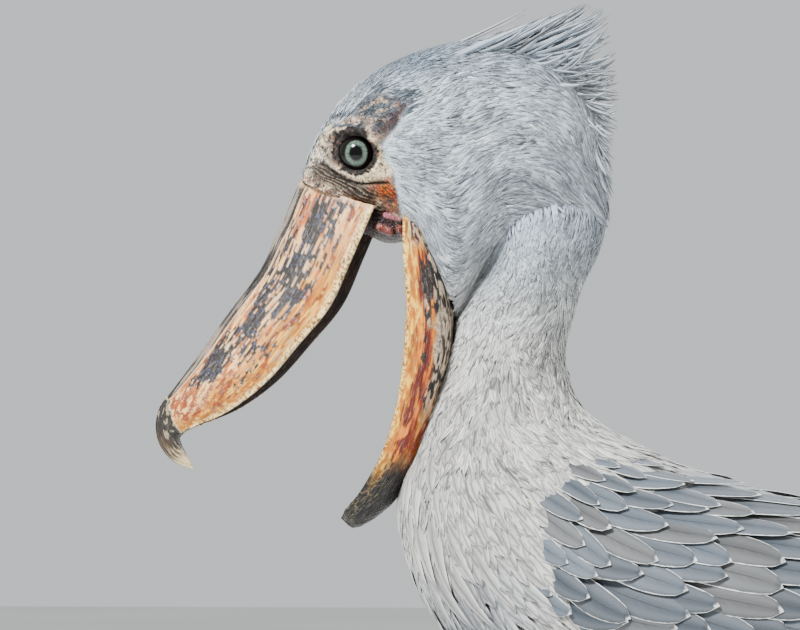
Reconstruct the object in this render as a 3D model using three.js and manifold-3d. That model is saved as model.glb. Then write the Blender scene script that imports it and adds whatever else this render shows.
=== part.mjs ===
// Shoebill, life size, standing with its bill wide open: a still display model.
// Millimetres, +Z up. The bird faces -X and its left side is towards -Y.
// Shapes are worked out from the middle of the feet at floor level, and the group is
// centred over the origin at the end.
import * as THREE from 'three';
import { LoftGeometry } from 'three/addons/geometries/LoftGeometry.js';
import { mergeVertices } from 'three/addons/utils/BufferGeometryUtils.js';
import Module from 'manifold-3d';

const wasm = await Module();
wasm.setup();

// Driving dimensions
const GAP = 0.35;
const EYE_RADIUS = 14;
const EYE_AT = { x: -236, y: 39.5, z: 886 };
const LID_RADIUS = 13.5;
const LID_THICK = 2.4;
const TORSO_STARTS = 0.365;
const ANKLE = { x: 42, y: 62, z: 258 };
const TARSUS_FOOT = { x: -4, y: 66, z: 17 };
const STRIDE = 14;
const TIBIA_BARE_TOP = 352;
const TOE_ROOT_HEIGHT = 17;
const CLAW_LENGTH = 24;
const HALLUX_CLAW_LENGTH = 30;
const CREST_COUNT = 15;
const CREST_ROOTS = { front: 0.56, back: 0.86 };
const CREST_TIPS = [[-104, 981], [-84, 990], [-66, 989], [-60, 970], [-56, 946], [-55, 920], [-58, 893]];
const NOSTRIL_AT = { x: -286, y: 10, z: 843 };
const NOSTRIL_RADII = [9, 1.5, 4];
const NOSTRIL_TURN = -66;
const TAIL_FEATHERS = 10;
const TAIL_LENGTH = 205;
const TAIL_SPREAD = 15;
const FEATHER_SUNK = 7;
const SEED = 11;

// A rib is one cross-section: its top and bottom in the plane of symmetry as [x, z], its half
// width, and how much wider it is towards its top (egg).
const HEAD_RIBS = [
  { top: [-280, 867], bottom: [-227, 846], half: 44, egg: 0 },
  { top: [-271, 891], bottom: [-217, 841], half: 47, egg: 0.05 },
  { top: [-250, 924], bottom: [-206, 829], half: 50, egg: 0.12 },
  { top: [-212, 951], bottom: [-190, 803], half: 57, egg: 0.3 },
  { top: [-155, 965], bottom: [-173, 766], half: 61, egg: 0.42 },
  { top: [-105, 953], bottom: [-147, 808], half: 59, egg: 0.25 },
  { top: [-75, 918], bottom: [-127, 827], half: 50, egg: 0.1 },
  { top: [-68, 878], bottom: [-99, 832], half: 32, egg: 0 },
];

// From the nape down the neck, round the breast and back to the root of the tail.
const TRUNK_RIBS = [
  { top: [-88, 896], bottom: [-146, 862], half: 34, egg: 0 },
  { top: [-67, 838], bottom: [-146, 812], half: 42, egg: 0 },
  { top: [-86, 786], bottom: [-168, 769], half: 39, egg: 0 },
  { top: [-97, 740], bottom: [-183, 726], half: 41, egg: 0 },
  { top: [-84, 704], bottom: [-198, 682], half: 50, egg: 0 },
  { top: [-50, 681], bottom: [-207, 630], half: 69, egg: 0 },
  { top: [0, 660], bottom: [-178, 554], half: 90, egg: 0.04 },
  { top: [70, 638], bottom: [-92, 475], half: 104, egg: 0.06 },
  { top: [150, 610], bottom: [36, 442], half: 103, egg: 0.08 },
  { top: [230, 574], bottom: [172, 454], half: 76, egg: 0.1 },
  { top: [296, 539], bottom: [284, 512], half: 24, egg: 0 },
];

// The outside of both folded wings, from the shoulders to the wing tips.
const MANTLE_RIBS = [
  { top: [-104, 696], bottom: [-166, 606], half: 65, egg: 0 },
  { top: [-24, 666], bottom: [-92, 506], half: 104, egg: 0 },
  { top: [72, 645], bottom: [22, 464], half: 118, egg: 0 },
  { top: [170, 616], bottom: [140, 456], half: 116, egg: 0 },
  { top: [275, 578], bottom: [262, 462], half: 91, egg: 0 },
  { top: [385, 542], bottom: [382, 489], half: 61, egg: 0 },
  { top: [480, 513], bottom: [481, 493], half: 43, egg: 0 },
];

// The upper bill: its top line, its cutting edge and its half width, with how deep it is
// hollowed below. The last ribs turn down through the hook.
const UPPER_BILL_RIBS = [
  { top: [-280, 866], bottom: [-224, 849], half: 46, hollow: 0.5 },
  { top: [-296, 830], bottom: [-240, 812], half: 49, hollow: 0.55 },
  { top: [-309, 803], bottom: [-255, 779], half: 51, hollow: 0.55 },
  { top: [-329, 776], bottom: [-277, 752], half: 51, hollow: 0.5 },
  { top: [-349, 748], bottom: [-301, 725], half: 46, hollow: 0.45 },
  { top: [-368, 723], bottom: [-328, 705], half: 35, hollow: 0.35 },
  { top: [-380, 707], bottom: [-356, 693], half: 20, hollow: 0.1 },
  { top: [-383, 693], bottom: [-366, 687], half: 10.5, hollow: 0 },
  { top: [-380, 680], bottom: [-365, 680], half: 8, hollow: 0 },
  { top: [-371, 669], bottom: [-361, 673], half: 4.5, hollow: 0 },
  { top: [-357, 663], bottom: [-356.5, 664], half: 1, hollow: 0 },
];

const LOWER_BILL_RIBS = [
  { top: [-204, 843], bottom: [-188, 829], half: 43, hollow: 0.9 },
  { top: [-203, 812], bottom: [-178, 803], half: 45, hollow: 0.9 },
  { top: [-201, 780], bottom: [-171, 772], half: 46, hollow: 0.9 },
  { top: [-203, 745], bottom: [-173, 739], half: 45, hollow: 0.9 },
  { top: [-208, 712], bottom: [-183, 705], half: 41, hollow: 0.88 },
  { top: [-218, 679], bottom: [-196, 670], half: 35, hollow: 0.8 },
  { top: [-233, 652], bottom: [-214, 641], half: 27, hollow: 0.5 },
  { top: [-246, 636], bottom: [-234, 625], half: 17, hollow: 0.2 },
  { top: [-251, 629], bottom: [-243, 622], half: 7, hollow: 0.1 },
];

const MOUTH_RIBS = [
  { top: [-234, 856], bottom: [-235, 829], half: 37, egg: 0 },
  { top: [-219, 852], bottom: [-219, 822], half: 38, egg: 0 },
  { top: [-203, 846], bottom: [-201, 824], half: 37, egg: 0 },
];

// The feathered leg, from inside the belly to where the scaled skin starts.
const THIGH_STATIONS = [
  { x: -22, z: 508, radius: 44 },
  { x: -10, z: 462, radius: 41 },
  { x: 6, z: 415, radius: 31 },
  { x: 17, z: 376, radius: 19 },
  { x: 23, z: TIBIA_BARE_TOP, radius: 12.5 },
];

// Toes: the way each points from straight ahead, in degrees outwards, its length and half width.
const TOES = [
  { name: 'inner', turn: -27, length: 112, half: 7.6 },
  { name: 'middle', turn: 2, length: 152, half: 8.4 },
  { name: 'outer', turn: 31, length: 128, half: 7.8 },
  { name: 'hind', turn: 168, length: 74, half: 7.4 },
];

// The end of the torso above the tail feathers.
const TAIL_RIBS = [
  { top: [258, 553], bottom: [258, 524], half: 30, egg: 0 },
  { top: [300, 533], bottom: [299, 509], half: 33, egg: 0 },
  { top: [345, 514], bottom: [344, 502], half: 26, egg: 0 },
];

// Rows of coverts on a folded wing: where a row is rooted and how far it reaches, as shares
// of the wing's length, and how many feathers it has.
const COVERT_ROWS = [
  { root: 0.0, run: 0.14, count: 4 },
  { root: 0.08, run: 0.16, count: 5 },
  { root: 0.17, run: 0.175, count: 5 },
  { root: 0.27, run: 0.185, count: 6 },
  { root: 0.38, run: 0.185, count: 5 },
  { root: 0.48, run: 0.195, count: 5 },
];
const FLIGHT_FEATHERS = { root: 0.54, count: 8, width: 34 };
const WING_TOP_EDGE = { front: 14, back: 28 };
const WING_LOW_EDGE = { front: 128, back: 98 };
const COVERT_LIFT = 6.8;

// Rows of long hanging plumes on the lower breast, as shares of the trunk's length.
const PLUME_ROWS = [
  { root: 0.42, run: 0.085, count: 4, spread: 34 },
  { root: 0.475, run: 0.09, count: 5, spread: 42 },
  { root: 0.53, run: 0.09, count: 6, spread: 46 },
];

// The width of a feather along its length, as [share of length, share of width].
const VANE = {
  thick: 1.1,
  plume: false,
  widths: [[0, 0.6], [0.28, 0.9], [0.82, 0.92], [1, 0.35]],
};
const PLUME = {
  thick: 2,
  plume: true,
  widths: [[0, 0.8], [0.3, 1], [0.75, 0.7], [1, 0.12]],
};

const INK = { roughness: 0.6, metalness: 0 };
const MATERIALS = {
  plumage: new THREE.MeshStandardMaterial({ color: 0xb4b9bf, ...INK, roughness: 0.9 }),
  wing: new THREE.MeshStandardMaterial({ color: 0x5d6974, ...INK, roughness: 0.75 }),
  horn: new THREE.MeshStandardMaterial({ color: 0xd9a583, ...INK, roughness: 0.45 }),
  mouth: new THREE.MeshStandardMaterial({ color: 0x8a5a55, ...INK, roughness: 0.35 }),
  eye: new THREE.MeshStandardMaterial({ color: 0x8ba79e, ...INK, roughness: 0.1 }),
  scales: new THREE.MeshStandardMaterial({ color: 0x4b4c4f, ...INK, roughness: 0.6 }),
  claw: new THREE.MeshStandardMaterial({ color: 0x2a2826, ...INK, roughness: 0.4 }),
};

const radians = THREE.MathUtils.degToRad;

// A smooth curve through the ribs' ends. The y of each point carries a width instead.
function curveThrough(rows) {
  const points = rows.map(([x, y, z]) => new THREE.Vector3(x, y, z));
  return new THREE.CatmullRomCurve3(points, false, 'catmullrom', 0.5);
}

// A body part given by its ribs: an oval section swept from the first rib to the last.
class RibForm {
  constructor(ribs) {
    this.tops = curveThrough(ribs.map((rib) => [rib.top[0], rib.half, rib.top[1]]));
    this.bottoms = curveThrough(ribs.map((rib) => [rib.bottom[0], rib.egg, rib.bottom[1]]));
  }

  // The point at share s along the part and at an angle round it, from the top (0) by the
  // left side (90 degrees), raised by lift.
  point(s, angle, lift = 0) {
    const top = this.tops.getPoint(s);
    const bottom = this.bottoms.getPoint(s);
    const [half, egg] = [top.y, bottom.y];
    top.y = 0;
    bottom.y = 0;
    const middle = top.clone().add(bottom).multiplyScalar(0.5);
    const up = top.sub(bottom).multiplyScalar(0.5);
    const rise = (Math.cos(angle) * (up.length() + lift)) / up.length();
    const point = middle.addScaledVector(up, rise);
    point.y = -(half + lift) * Math.sin(angle) * (1 + egg * Math.cos(angle));
    return point;
  }

  // The outward direction at a point of the surface.
  normal(s, angle) {
    const step = 0.004;
    const along = this.point(Math.min(s + step, 1), angle).sub(this.point(Math.max(s - step, 0), angle));
    const around = this.point(s, angle + step).sub(this.point(s, angle - step));
    return around.cross(along).normalize();
  }

  // The closed form between two shares of its length, with flat ends.
  solid(rings, sides, { from = 0, to = 1, grow = 0 } = {}) {
    const sections = [];
    for (let i = 0; i <= rings; i++) {
      const s = from + ((to - from) * i) / rings;
      const section = [];
      for (let j = 0; j < sides; j++) section.push(this.point(s, (2 * Math.PI * j) / sides, grow));
      sections.push(section);
    }
    pushOut(sections[0], sections[1], grow);
    pushOut(sections[rings], sections[rings - 1], grow);
    return loft(sections);
  }
}

// A closed manifold solid from a three.js geometry, whichever way its faces were wound.
function toSolid(geometry) {
  const bare = geometry.index ? geometry.toNonIndexed() : geometry.clone();
  bare.deleteAttribute('normal');
  bare.deleteAttribute('uv');
  const welded = mergeVertices(bare, 1e-4);
  const corners = welded.index.array;
  const kept = [];
  for (let i = 0; i < corners.length; i += 3) {
    const [a, b, c] = corners.slice(i, i + 3);
    if (a !== b && b !== c && c !== a) kept.push(a, b, c);
  }
  const build = (triangles) =>
    new wasm.Manifold(
      new wasm.Mesh({
        numProp: 3,
        vertProperties: welded.attributes.position.array,
        triVerts: Uint32Array.from(triangles),
      }),
    );
  const solid = build(kept);
  return solid.volume() < 0 ? build(kept.reverse()) : solid;
}

// Moves an end section away from its neighbour.
function pushOut(section, neighbour, by) {
  const out = new THREE.Vector3();
  section.forEach((point, i) => out.add(point).sub(neighbour[i]));
  out.setLength(by);
  section.forEach((point) => point.add(out));
}

// Splits the four-cornered faces of a flat form's far side along the same diagonals as those
// of its near side, so that the two never cross where it twists.
function splitAlike(geometry, rows, columns) {
  const corners = geometry.index.array;
  for (let i = 0; i < rows; i++) {
    for (let j = columns / 2; j < columns; j++) {
      const at = (i * columns + j) * 6;
      const [a, b, d, , c] = corners.slice(at, at + 5);
      corners.set([a, b, c, a, c, d], at);
    }
  }
}

// A closed loft through sections, which may run round either way.
function loft(sections, { flat = false } = {}) {
  const first = sections[0];
  const turn = new THREE.Vector3();
  first.forEach((point, i) => {
    const next = first[(i + 1) % first.length];
    turn.add(point.clone().sub(first[0]).cross(next.clone().sub(first[0])));
  });
  const run = sections[1].reduce((sum, point, i) => sum.add(point).sub(first[i]), new THREE.Vector3());
  const wound = turn.dot(run) > 0 ? sections : sections.map((section) => [...section].reverse());
  const geometry = new LoftGeometry(wound, { capStart: true, capEnd: true });
  if (flat) splitAlike(geometry, sections.length - 1, first.length);
  return toSolid(geometry);
}

// The one largest closed surface of a solid, without loose scraps or sealed hollows.
function largest(solid) {
  return solid.decompose().reduce((best, piece) => (piece.volume() > best.volume() ? piece : best));
}

function joined(first, others) {
  return others.reduce((sum, piece) => sum.add(piece), first);
}

function cutBy(solid, cutters) {
  return largest(cutters.reduce((rest, cutter) => rest.subtract(cutter), solid));
}

function mirrored(solid) {
  return solid.mirror([0, 1, 0]);
}

function meshOf(name, solid, material) {
  const { numProp, numVert, vertProperties, triVerts } = solid.getMesh();
  const positions = new Float32Array(numVert * 3);
  for (let i = 0; i < numVert; i++) {
    positions.set(vertProperties.subarray(i * numProp, i * numProp + 3), i * 3);
  }
  const geometry = new THREE.BufferGeometry();
  geometry.setAttribute('position', new THREE.BufferAttribute(positions, 3));
  geometry.setIndex(new THREE.BufferAttribute(triVerts, 1));
  geometry.computeVertexNormals();
  const mesh = new THREE.Mesh(geometry, material);
  mesh.name = name;
  return mesh;
}

// An ellipsoid at a place, turned about the Y axis.
function ellipsoid(at, radii, tilt = 0, parts = [14, 9]) {
  const geometry = new THREE.SphereGeometry(1, ...parts);
  geometry.scale(...radii);
  geometry.rotateY(tilt);
  geometry.translate(...at);
  return toSolid(geometry);
}

// A round limb through stations of x, y, z and radius.
function limb(stations, sides, grow = 0) {
  const line = curveThrough(stations.map(({ x, y, z }) => [x, y, z]));
  const radii = curveThrough(stations.map(({ radius }, i) => [i, radius, 0]));
  const rings = 2 * (stations.length - 1);
  const sections = [];
  for (let i = 0; i <= rings; i++) {
    const middle = line.getPoint(i / rings);
    const run = line.getTangent(i / rings);
    const radius = radii.getPoint(i / rings).y + grow;
    const side = new THREE.Vector3(0, 1, 0);
    side.addScaledVector(run, -side.dot(run)).normalize();
    const front = side.clone().cross(run);
    const section = [];
    for (let j = 0; j < sides; j++) {
      const angle = (2 * Math.PI * j) / sides;
      const point = middle.clone().addScaledVector(side, radius * Math.cos(angle));
      section.push(point.addScaledVector(front, radius * Math.sin(angle)));
    }
    sections.push(section);
  }
  pushOut(sections[0], sections[1], grow);
  pushOut(sections[rings], sections[rings - 1], grow);
  return loft(sections);
}

// A bill half: the ribs' ends run along the symmetry plane, and outline gives one side of a
// section as [across, down] shares. Marks after the rim are inside, and flatten as hollow ends.
function billForm(ribs, outline, rimAt, rings, { grow = 0 } = {}) {
  const tops = curveThrough(ribs.map((rib) => [rib.top[0], rib.half, rib.top[1]]));
  const bottoms = curveThrough(ribs.map((rib) => [rib.bottom[0], rib.hollow, rib.bottom[1]]));
  const sections = [];
  for (let i = 0; i <= rings; i++) {
    const top = tops.getPoint(i / rings);
    const bottom = bottoms.getPoint(i / rings);
    const half = top.y + grow;
    const hollow = Math.max(bottom.y, 0.05);
    top.y = 0;
    bottom.y = 0;
    const down = bottom.clone().sub(top);
    top.addScaledVector(down, -grow / down.length());
    down.setLength(down.length() + 2 * grow);
    const place = ([across, depth], k, side) => {
      const inside = (k > rimAt) === (rimAt > 0);
      const rim = outline[Math.abs(rimAt)][1];
      const share = inside ? rim + (depth - rim) * hollow : depth;
      const point = top.clone().addScaledVector(down, share);
      point.y = side * across * half;
      return point;
    };
    const left = outline.map((mark, k) => place(mark, k, -1));
    const right = outline.map((mark, k) => place(mark, k, 1)).slice(1, -1);
    sections.push([...left, ...right.reverse()]);
  }
  pushOut(sections[0], sections[1], grow);
  return loft(sections);
}

// One side of a bill section, from its outer middle by the rim to its inner middle.
const UPPER_OUTLINE = [
  [0, 0], [0.13, 0.01], [0.18, 0.07], [0.55, 0.15], [0.85, 0.4], [1, 0.72], [0.97, 1],
  [0.87, 1], [0.82, 0.72], [0.55, 0.4], [0, 0.25],
];
const LOWER_OUTLINE = [
  [0, 1], [0.45, 0.98], [0.82, 0.84], [0.98, 0.5], [1, 0],
  [0.88, 0], [0.85, 0.5], [0.6, 0.8], [0, 0.86],
];
const UPPER_RIM = 6;
const LOWER_RIM = 4;
const UPPER_RINGS = 20;
const LOWER_RINGS = 14;

const headForm = new RibForm(HEAD_RIBS);
const trunkForm = new RibForm(TRUNK_RIBS);
const mantleForm = new RibForm(MANTLE_RIBS);
const mouthForm = new RibForm(MOUTH_RIBS);

function eyeball(side, grow = 0) {
  const radius = EYE_RADIUS + grow;
  return ellipsoid([EYE_AT.x, side * EYE_AT.y, EYE_AT.z], [radius, radius, radius]);
}

// The lids: a ring round the eye, standing a little proud of the face.
function lids(side) {
  const ring = new THREE.TorusGeometry(LID_RADIUS, LID_THICK, 5, 16);
  ring.rotateX(Math.PI / 2);
  ring.rotateZ(side * radians(-8));
  ring.translate(EYE_AT.x, side * (EYE_AT.y + 8.5), EYE_AT.z);
  return toSolid(ring);
}

// A steady stream of numbers from 0 to 1 that is the same each time.
function numbers(seed) {
  let state = seed;
  return () => {
    state = (state * 16807) % 2147483647;
    return state / 2147483647;
  };
}

// A ribbon through rows of left, middle and right points, with its thickness along up: a
// level vane with blunt edges, or a plume that is thickest along its middle.
function ribbon(rows, { thick, plume }) {
  const shifted = (point, up, by) => point.clone().addScaledVector(up, by * thick);
  const sections = rows.map(({ left, middle, right, up }) =>
    plume
      ? [left, shifted(middle, up, 0.5), right, shifted(middle, up, -0.5)]
      : [
          shifted(left, up, 0.5),
          shifted(right, up, 0.5),
          shifted(right, up, -0.5),
          shifted(left, up, -0.5),
        ],
  );
  return loft(sections, { flat: true });
}

// A feather bent from its root to its tip; bow lifts its middle along up.
function feather({ root, tip, up, bow, width, kind }) {
  const knee = root.clone().lerp(tip, 0.5).addScaledVector(up, 2 * bow);
  const line = new THREE.QuadraticBezierCurve3(root, knee, tip);
  const rows = kind.widths.map(([t, share]) => {
    const middle = line.getPoint(t);
    const run = line.getTangent(t);
    const side = run.clone().cross(up).normalize();
    const rise = side.clone().cross(run).normalize();
    const left = middle.clone().addScaledVector(side, (-width * share) / 2);
    const right = middle.clone().addScaledVector(side, (width * share) / 2);
    middle.addScaledVector(rise, 0.06 * width * share);
    return { left, middle, right, up: rise };
  });
  return ribbon(rows, kind);
}

// A feather that lies along a form. It runs from share s[0] to s[1] of the form's length and
// from angle[0] to angle[1] round it, rises by lift[0] to lift[1], and its right edge stands
// higher than its left by tilt.
function lyingFeather(form, { s, angle, lift, width, tilt, kind, sunk = FEATHER_SUNK }) {
  const rows = kind.widths.map(([t, share]) => {
    const at = THREE.MathUtils.lerp(s[0], s[1], t);
    const turn = THREE.MathUtils.lerp(angle[0], angle[1], t);
    const height = t ? THREE.MathUtils.lerp(lift[0], lift[1], t) : lift[0] - sunk;
    const step = 0.05;
    const girth = form.point(at, turn + step).distanceTo(form.point(at, turn - step)) / (2 * step);
    const half = (width * share) / 2 / girth;
    return {
      left: form.point(at, turn + half, height - tilt / 2),
      middle: form.point(at, turn, height + 0.02 * width),
      right: form.point(at, turn - half, height + tilt / 2),
      up: form.normal(at, turn),
    };
  });
  return ribbon(rows, kind);
}

// The crest: narrow feathers from the back of the crown, fanned up, back and down the nape.
function crestFeathers() {
  const random = numbers(SEED);
  const tips = curveThrough(CREST_TIPS.map(([x, z]) => [x, 0, z]));
  return Array.from({ length: CREST_COUNT }, (_, i) => {
    const fan = i / (CREST_COUNT - 1);
    const side = ((i * 7) % 5) / 2 - 1;
    const share = THREE.MathUtils.lerp(CREST_ROOTS.front, CREST_ROOTS.back, fan);
    const root = headForm.point(share, radians(16 * side), -FEATHER_SUNK);
    const tip = tips.getPoint(fan).setY(1.6 * root.y).lerp(root, 0.16 * random());
    const roll = radians((i % 2 ? -1 : 1) * (48 + 24 * random()));
    const up = new THREE.Vector3(root.z - tip.z, 0, tip.x - root.x).setLength(Math.cos(roll));
    up.y = Math.sin(roll);
    return feather({ root, tip, up, bow: 2.5, width: 10 + 3 * random(), kind: PLUME });
  });
}

// A narrow slit at the upper end of the groove beside the bill's ridge.
function nostril(side) {
  const { x, y, z } = NOSTRIL_AT;
  return ellipsoid([x, side * y, z], NOSTRIL_RADII, radians(NOSTRIL_TURN), [10, 6]);
}

// The head, with sockets that hold the eyes.
function makeHead() {
  const whole = joined(headForm.solid(18, 18), [...crestFeathers(), lids(-1), lids(1)]);
  return cutBy(whole, [eyeball(-1, GAP), eyeball(1, GAP)]);
}

// The space that the head takes up, with the gap round it.
function headRoom() {
  return headForm.solid(18, 18, { grow: GAP });
}

function makeUpperBill() {
  const bill = billForm(UPPER_BILL_RIBS, UPPER_OUTLINE, UPPER_RIM, UPPER_RINGS);
  return cutBy(bill, [headRoom(), nostril(-1), nostril(1)]);
}

function makeLowerBill() {
  const bill = billForm(LOWER_BILL_RIBS, LOWER_OUTLINE, LOWER_RIM, LOWER_RINGS);
  return cutBy(bill, [headRoom()]);
}

function makeMouth(upperBill, lowerBill) {
  const lining = mouthForm.solid(4, 12);
  return cutBy(lining, [headRoom(), upperBill, lowerBill]);
}

// The open lower bill rests against the throat, so neck and breast make room for it.
function jawRoom() {
  return billForm(LOWER_BILL_RIBS, LOWER_OUTLINE, LOWER_RIM, LOWER_RINGS, { grow: GAP });
}

function makeNeck() {
  const neck = trunkForm.solid(10, 16, { to: TORSO_STARTS });
  return cutBy(neck, [headRoom(), jawRoom()]);
}

const TORSO_GAP = 0.0006;

function torsoSolid(grow = 0) {
  return trunkForm.solid(18, 18, { from: TORSO_STARTS + TORSO_GAP, grow });
}

// Long plumes hanging in rows round the front of the breast.
function breastPlumes() {
  const random = numbers(SEED + 1);
  return PLUME_ROWS.flatMap(({ root, run, count, spread }) =>
    Array.from({ length: count }, (_, i) => {
      const across = (2 * (i + 0.5)) / count - 1;
      const angle = radians(180 + spread * across + 4 * (random() - 0.5));
      return lyingFeather(trunkForm, {
        s: [root, root + run * (0.9 + 0.25 * random())],
        angle: [angle, angle + radians(3 * across)],
        lift: [1.5, 5],
        width: 19,
        tilt: 1.6,
        kind: PLUME,
      });
    }),
  );
}

function makeTorso() {
  return cutBy(joined(torsoSolid(), breastPlumes()), [jawRoom()]);
}

// The angle of a place across the folded wing: 0 at its top edge, 1 at its lower edge.
function wingAngle(s, across) {
  const top = THREE.MathUtils.lerp(WING_TOP_EDGE.front, WING_TOP_EDGE.back, s);
  const low = THREE.MathUtils.lerp(WING_LOW_EDGE.front, WING_LOW_EDGE.back, s);
  return radians(THREE.MathUtils.lerp(top, low, across));
}

// The arm of the wing under its feathers: the sector of the mantle over one side of the torso.
function wingArm() {
  const rings = 7;
  const arcPoints = 5;
  const sections = [];
  for (let i = 0; i <= rings; i++) {
    const s = (0.72 * i) / rings;
    const edge = 0.06 + 0.12 * (s / 0.72) ** 3;
    const depth = 3 + 26 * Math.sin(Math.PI * Math.min(0.15 + s, 0.9));
    const arc = (lift) =>
      Array.from({ length: arcPoints }, (_, j) => {
        const across = THREE.MathUtils.lerp(edge, 1 - edge, j / (arcPoints - 1));
        return mantleForm.point(s, wingAngle(s, across), lift);
      });
    sections.push([...arc(0), ...arc(-depth).reverse()]);
  }
  return loft(sections, { flat: true });
}

// Rows of coverts, each row over the roots of the next, like tiles.
function coverts() {
  const random = numbers(SEED + 2);
  return COVERT_ROWS.flatMap(({ root, run, count }, row) =>
    Array.from({ length: count }, (_, i) => {
      const across = (i + (row % 2 ? 0.3 : 0.65)) / count;
      const reach = root + run * (0.94 + 0.12 * random());
      const middle = root + 0.6 * run;
      const [first, last] = [i / count, (i + 1) / count].map((share) => wingAngle(middle, share));
      const width = mantleForm.point(middle, first).distanceTo(mantleForm.point(middle, last));
      return lyingFeather(mantleForm, {
        s: [root, reach],
        angle: [wingAngle(root, across), wingAngle(reach, across + 0.02)],
        lift: [1.2, COVERT_LIFT],
        width,
        tilt: 1.6,
        kind: VANE,
      });
    }),
  );
}

// The long flight feathers: the innermost lie on top, the outermost reach the wing tip.
function flightFeathers() {
  const { root, count, width } = FLIGHT_FEATHERS;
  return Array.from({ length: count }, (_, i) => {
    const out = i / (count - 1);
    const start = root - 0.05 * out;
    const reach = THREE.MathUtils.lerp(0.86, 1, out ** 0.7);
    const lift = THREE.MathUtils.lerp(7, -8, out);
    return lyingFeather(mantleForm, {
      s: [start, reach],
      angle: [wingAngle(start, 0.12 + 0.76 * out), wingAngle(reach, 0.1 + 0.62 * out)],
      lift: [-1 - 2 * out, lift],
      width: width - 6 * out,
      tilt: -2,
      kind: VANE,
    });
  });
}

function makeWing(tail) {
  const whole = joined(wingArm(), [...flightFeathers(), ...coverts()]);
  return cutBy(whole, [torsoSolid(GAP), tail]);
}

// The tail: stiff feathers fanned from the end of the torso, the middle ones on top.
function makeTail(grow = 0) {
  const stump = new RibForm(TAIL_RIBS).solid(4, 12, { grow });
  const feathers = Array.from({ length: TAIL_FEATHERS }, (_, i) => {
    const across = (2 * i) / (TAIL_FEATHERS - 1) - 1;
    const rank = 1 - Math.abs(across);
    const heading = radians(TAIL_SPREAD * across);
    const root = new THREE.Vector3(282, 20 * across, 522 + 4 * rank);
    const run = new THREE.Vector3(Math.cos(heading), Math.sin(heading), -0.22);
    return feather({
      root,
      tip: root.clone().addScaledVector(run, TAIL_LENGTH - 12 * Math.abs(across)),
      up: new THREE.Vector3(0.25, 0.12 * across, 1).normalize(),
      bow: 3,
      width: 27 + 2 * grow,
      kind: { ...VANE, thick: VANE.thick + 2 * grow },
    });
  });
  return cutBy(joined(stump, feathers), grow ? [] : [torsoSolid(GAP)]);
}

function legY(z) {
  return THREE.MathUtils.mapLinear(z, ANKLE.z, 508, ANKLE.y, 54);
}

function makeThigh(side, lean) {
  const stations = THIGH_STATIONS.map(({ x, z, radius }) => {
    return { x: x + lean, y: side * legY(z), z, radius };
  });
  return cutBy(limb(stations, 12), [torsoSolid(GAP), limb(shinStations(side, lean), 10, GAP)]);
}

// The scaled leg: from under the feathers into the ankle, and from the ankle to the toes.
function shinStations(side, lean) {
  const top = THIGH_STATIONS.at(-1);
  const y = side * ANKLE.y;
  return [
    { x: top.x - 2 + lean, y: side * legY(top.z + 8), z: top.z + 8, radius: 8.6 },
    { x: 33 + lean, y, z: 305, radius: 7.6 },
    { x: ANKLE.x - 2 + lean, y, z: ANKLE.z + 22, radius: 8.8 },
    { x: ANKLE.x + lean, y, z: ANKLE.z + 3, radius: 8.4 },
  ];
}

function tarsusStations(side, lean) {
  const y = side * ANKLE.y;
  const footY = side * TARSUS_FOOT.y;
  return [
    { x: ANKLE.x - 1 + lean, y, z: ANKLE.z + 12, radius: 10.6 },
    { x: ANKLE.x + lean, y, z: ANKLE.z - 2, radius: 13 },
    { x: ANKLE.x - 3 + lean, y, z: ANKLE.z - 24, radius: 9.2 },
    { x: 18 + lean, y: (y + footY) / 2, z: 135, radius: 7.6 },
    { x: 3 + lean, y: footY, z: 50, radius: 8.2 },
    { x: TARSUS_FOOT.x + lean, y: footY, z: TOE_ROOT_HEIGHT, radius: 11 },
  ];
}

// A toe lying on the floor, flat below, with a swelling at each joint.
function makeToe(side, lean, { turn, length, half }) {
  const heading = radians(180 - side * turn);
  const run = new THREE.Vector3(Math.cos(heading), Math.sin(heading), 0);
  const across = new THREE.Vector3(-run.y, run.x, 0);
  const root = new THREE.Vector3(TARSUS_FOOT.x + lean, side * TARSUS_FOOT.y, 0);
  const rings = 9;
  const joints = 3;
  const sections = [];
  for (let i = 0; i <= rings; i++) {
    const u = i / rings;
    const swell = 1 + 0.1 * Math.cos(2 * Math.PI * joints * u);
    const wide = half * THREE.MathUtils.lerp(1, 0.62, u) * swell;
    const tall = wide * 1.75;
    const foot = root.clone().addScaledVector(run, 9 + u * (length - 9));
    const section = [
      [-0.72, 0], [-1, 0.3], [-0.85, 0.72], [-0.4, 0.98], [0.4, 0.98], [0.85, 0.72], [1, 0.3], [0.72, 0],
    ].map(([w, h]) => foot.clone().addScaledVector(across, w * wide).setZ(h * tall));
    sections.push(section);
  }
  return { solid: loft(sections), end: root.addScaledVector(run, length), run, across, half };
}

// A curved claw at the end of a toe, its point just clear of the floor.
function makeClaw(toe, length) {
  const rings = 6;
  const sides = 6;
  const sections = [];
  for (let i = 0; i <= rings; i++) {
    const u = i / rings;
    const radius = toe.half * 0.52 * (1 - 0.9 * u);
    const rise = toe.half * 0.62 + 3 * Math.sin(Math.PI * u) - (toe.half * 0.62 - 1) * u * u;
    const middle = toe.end.clone().addScaledVector(toe.run, GAP + u * length).setZ(rise);
    const section = [];
    for (let j = 0; j < sides; j++) {
      const angle = (2 * Math.PI * j) / sides;
      const point = middle.clone().addScaledVector(toe.across, radius * 0.8 * Math.cos(angle));
      point.z += radius * Math.sin(angle);
      section.push(point);
    }
    sections.push(section);
  }
  return loft(sections);
}

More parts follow.
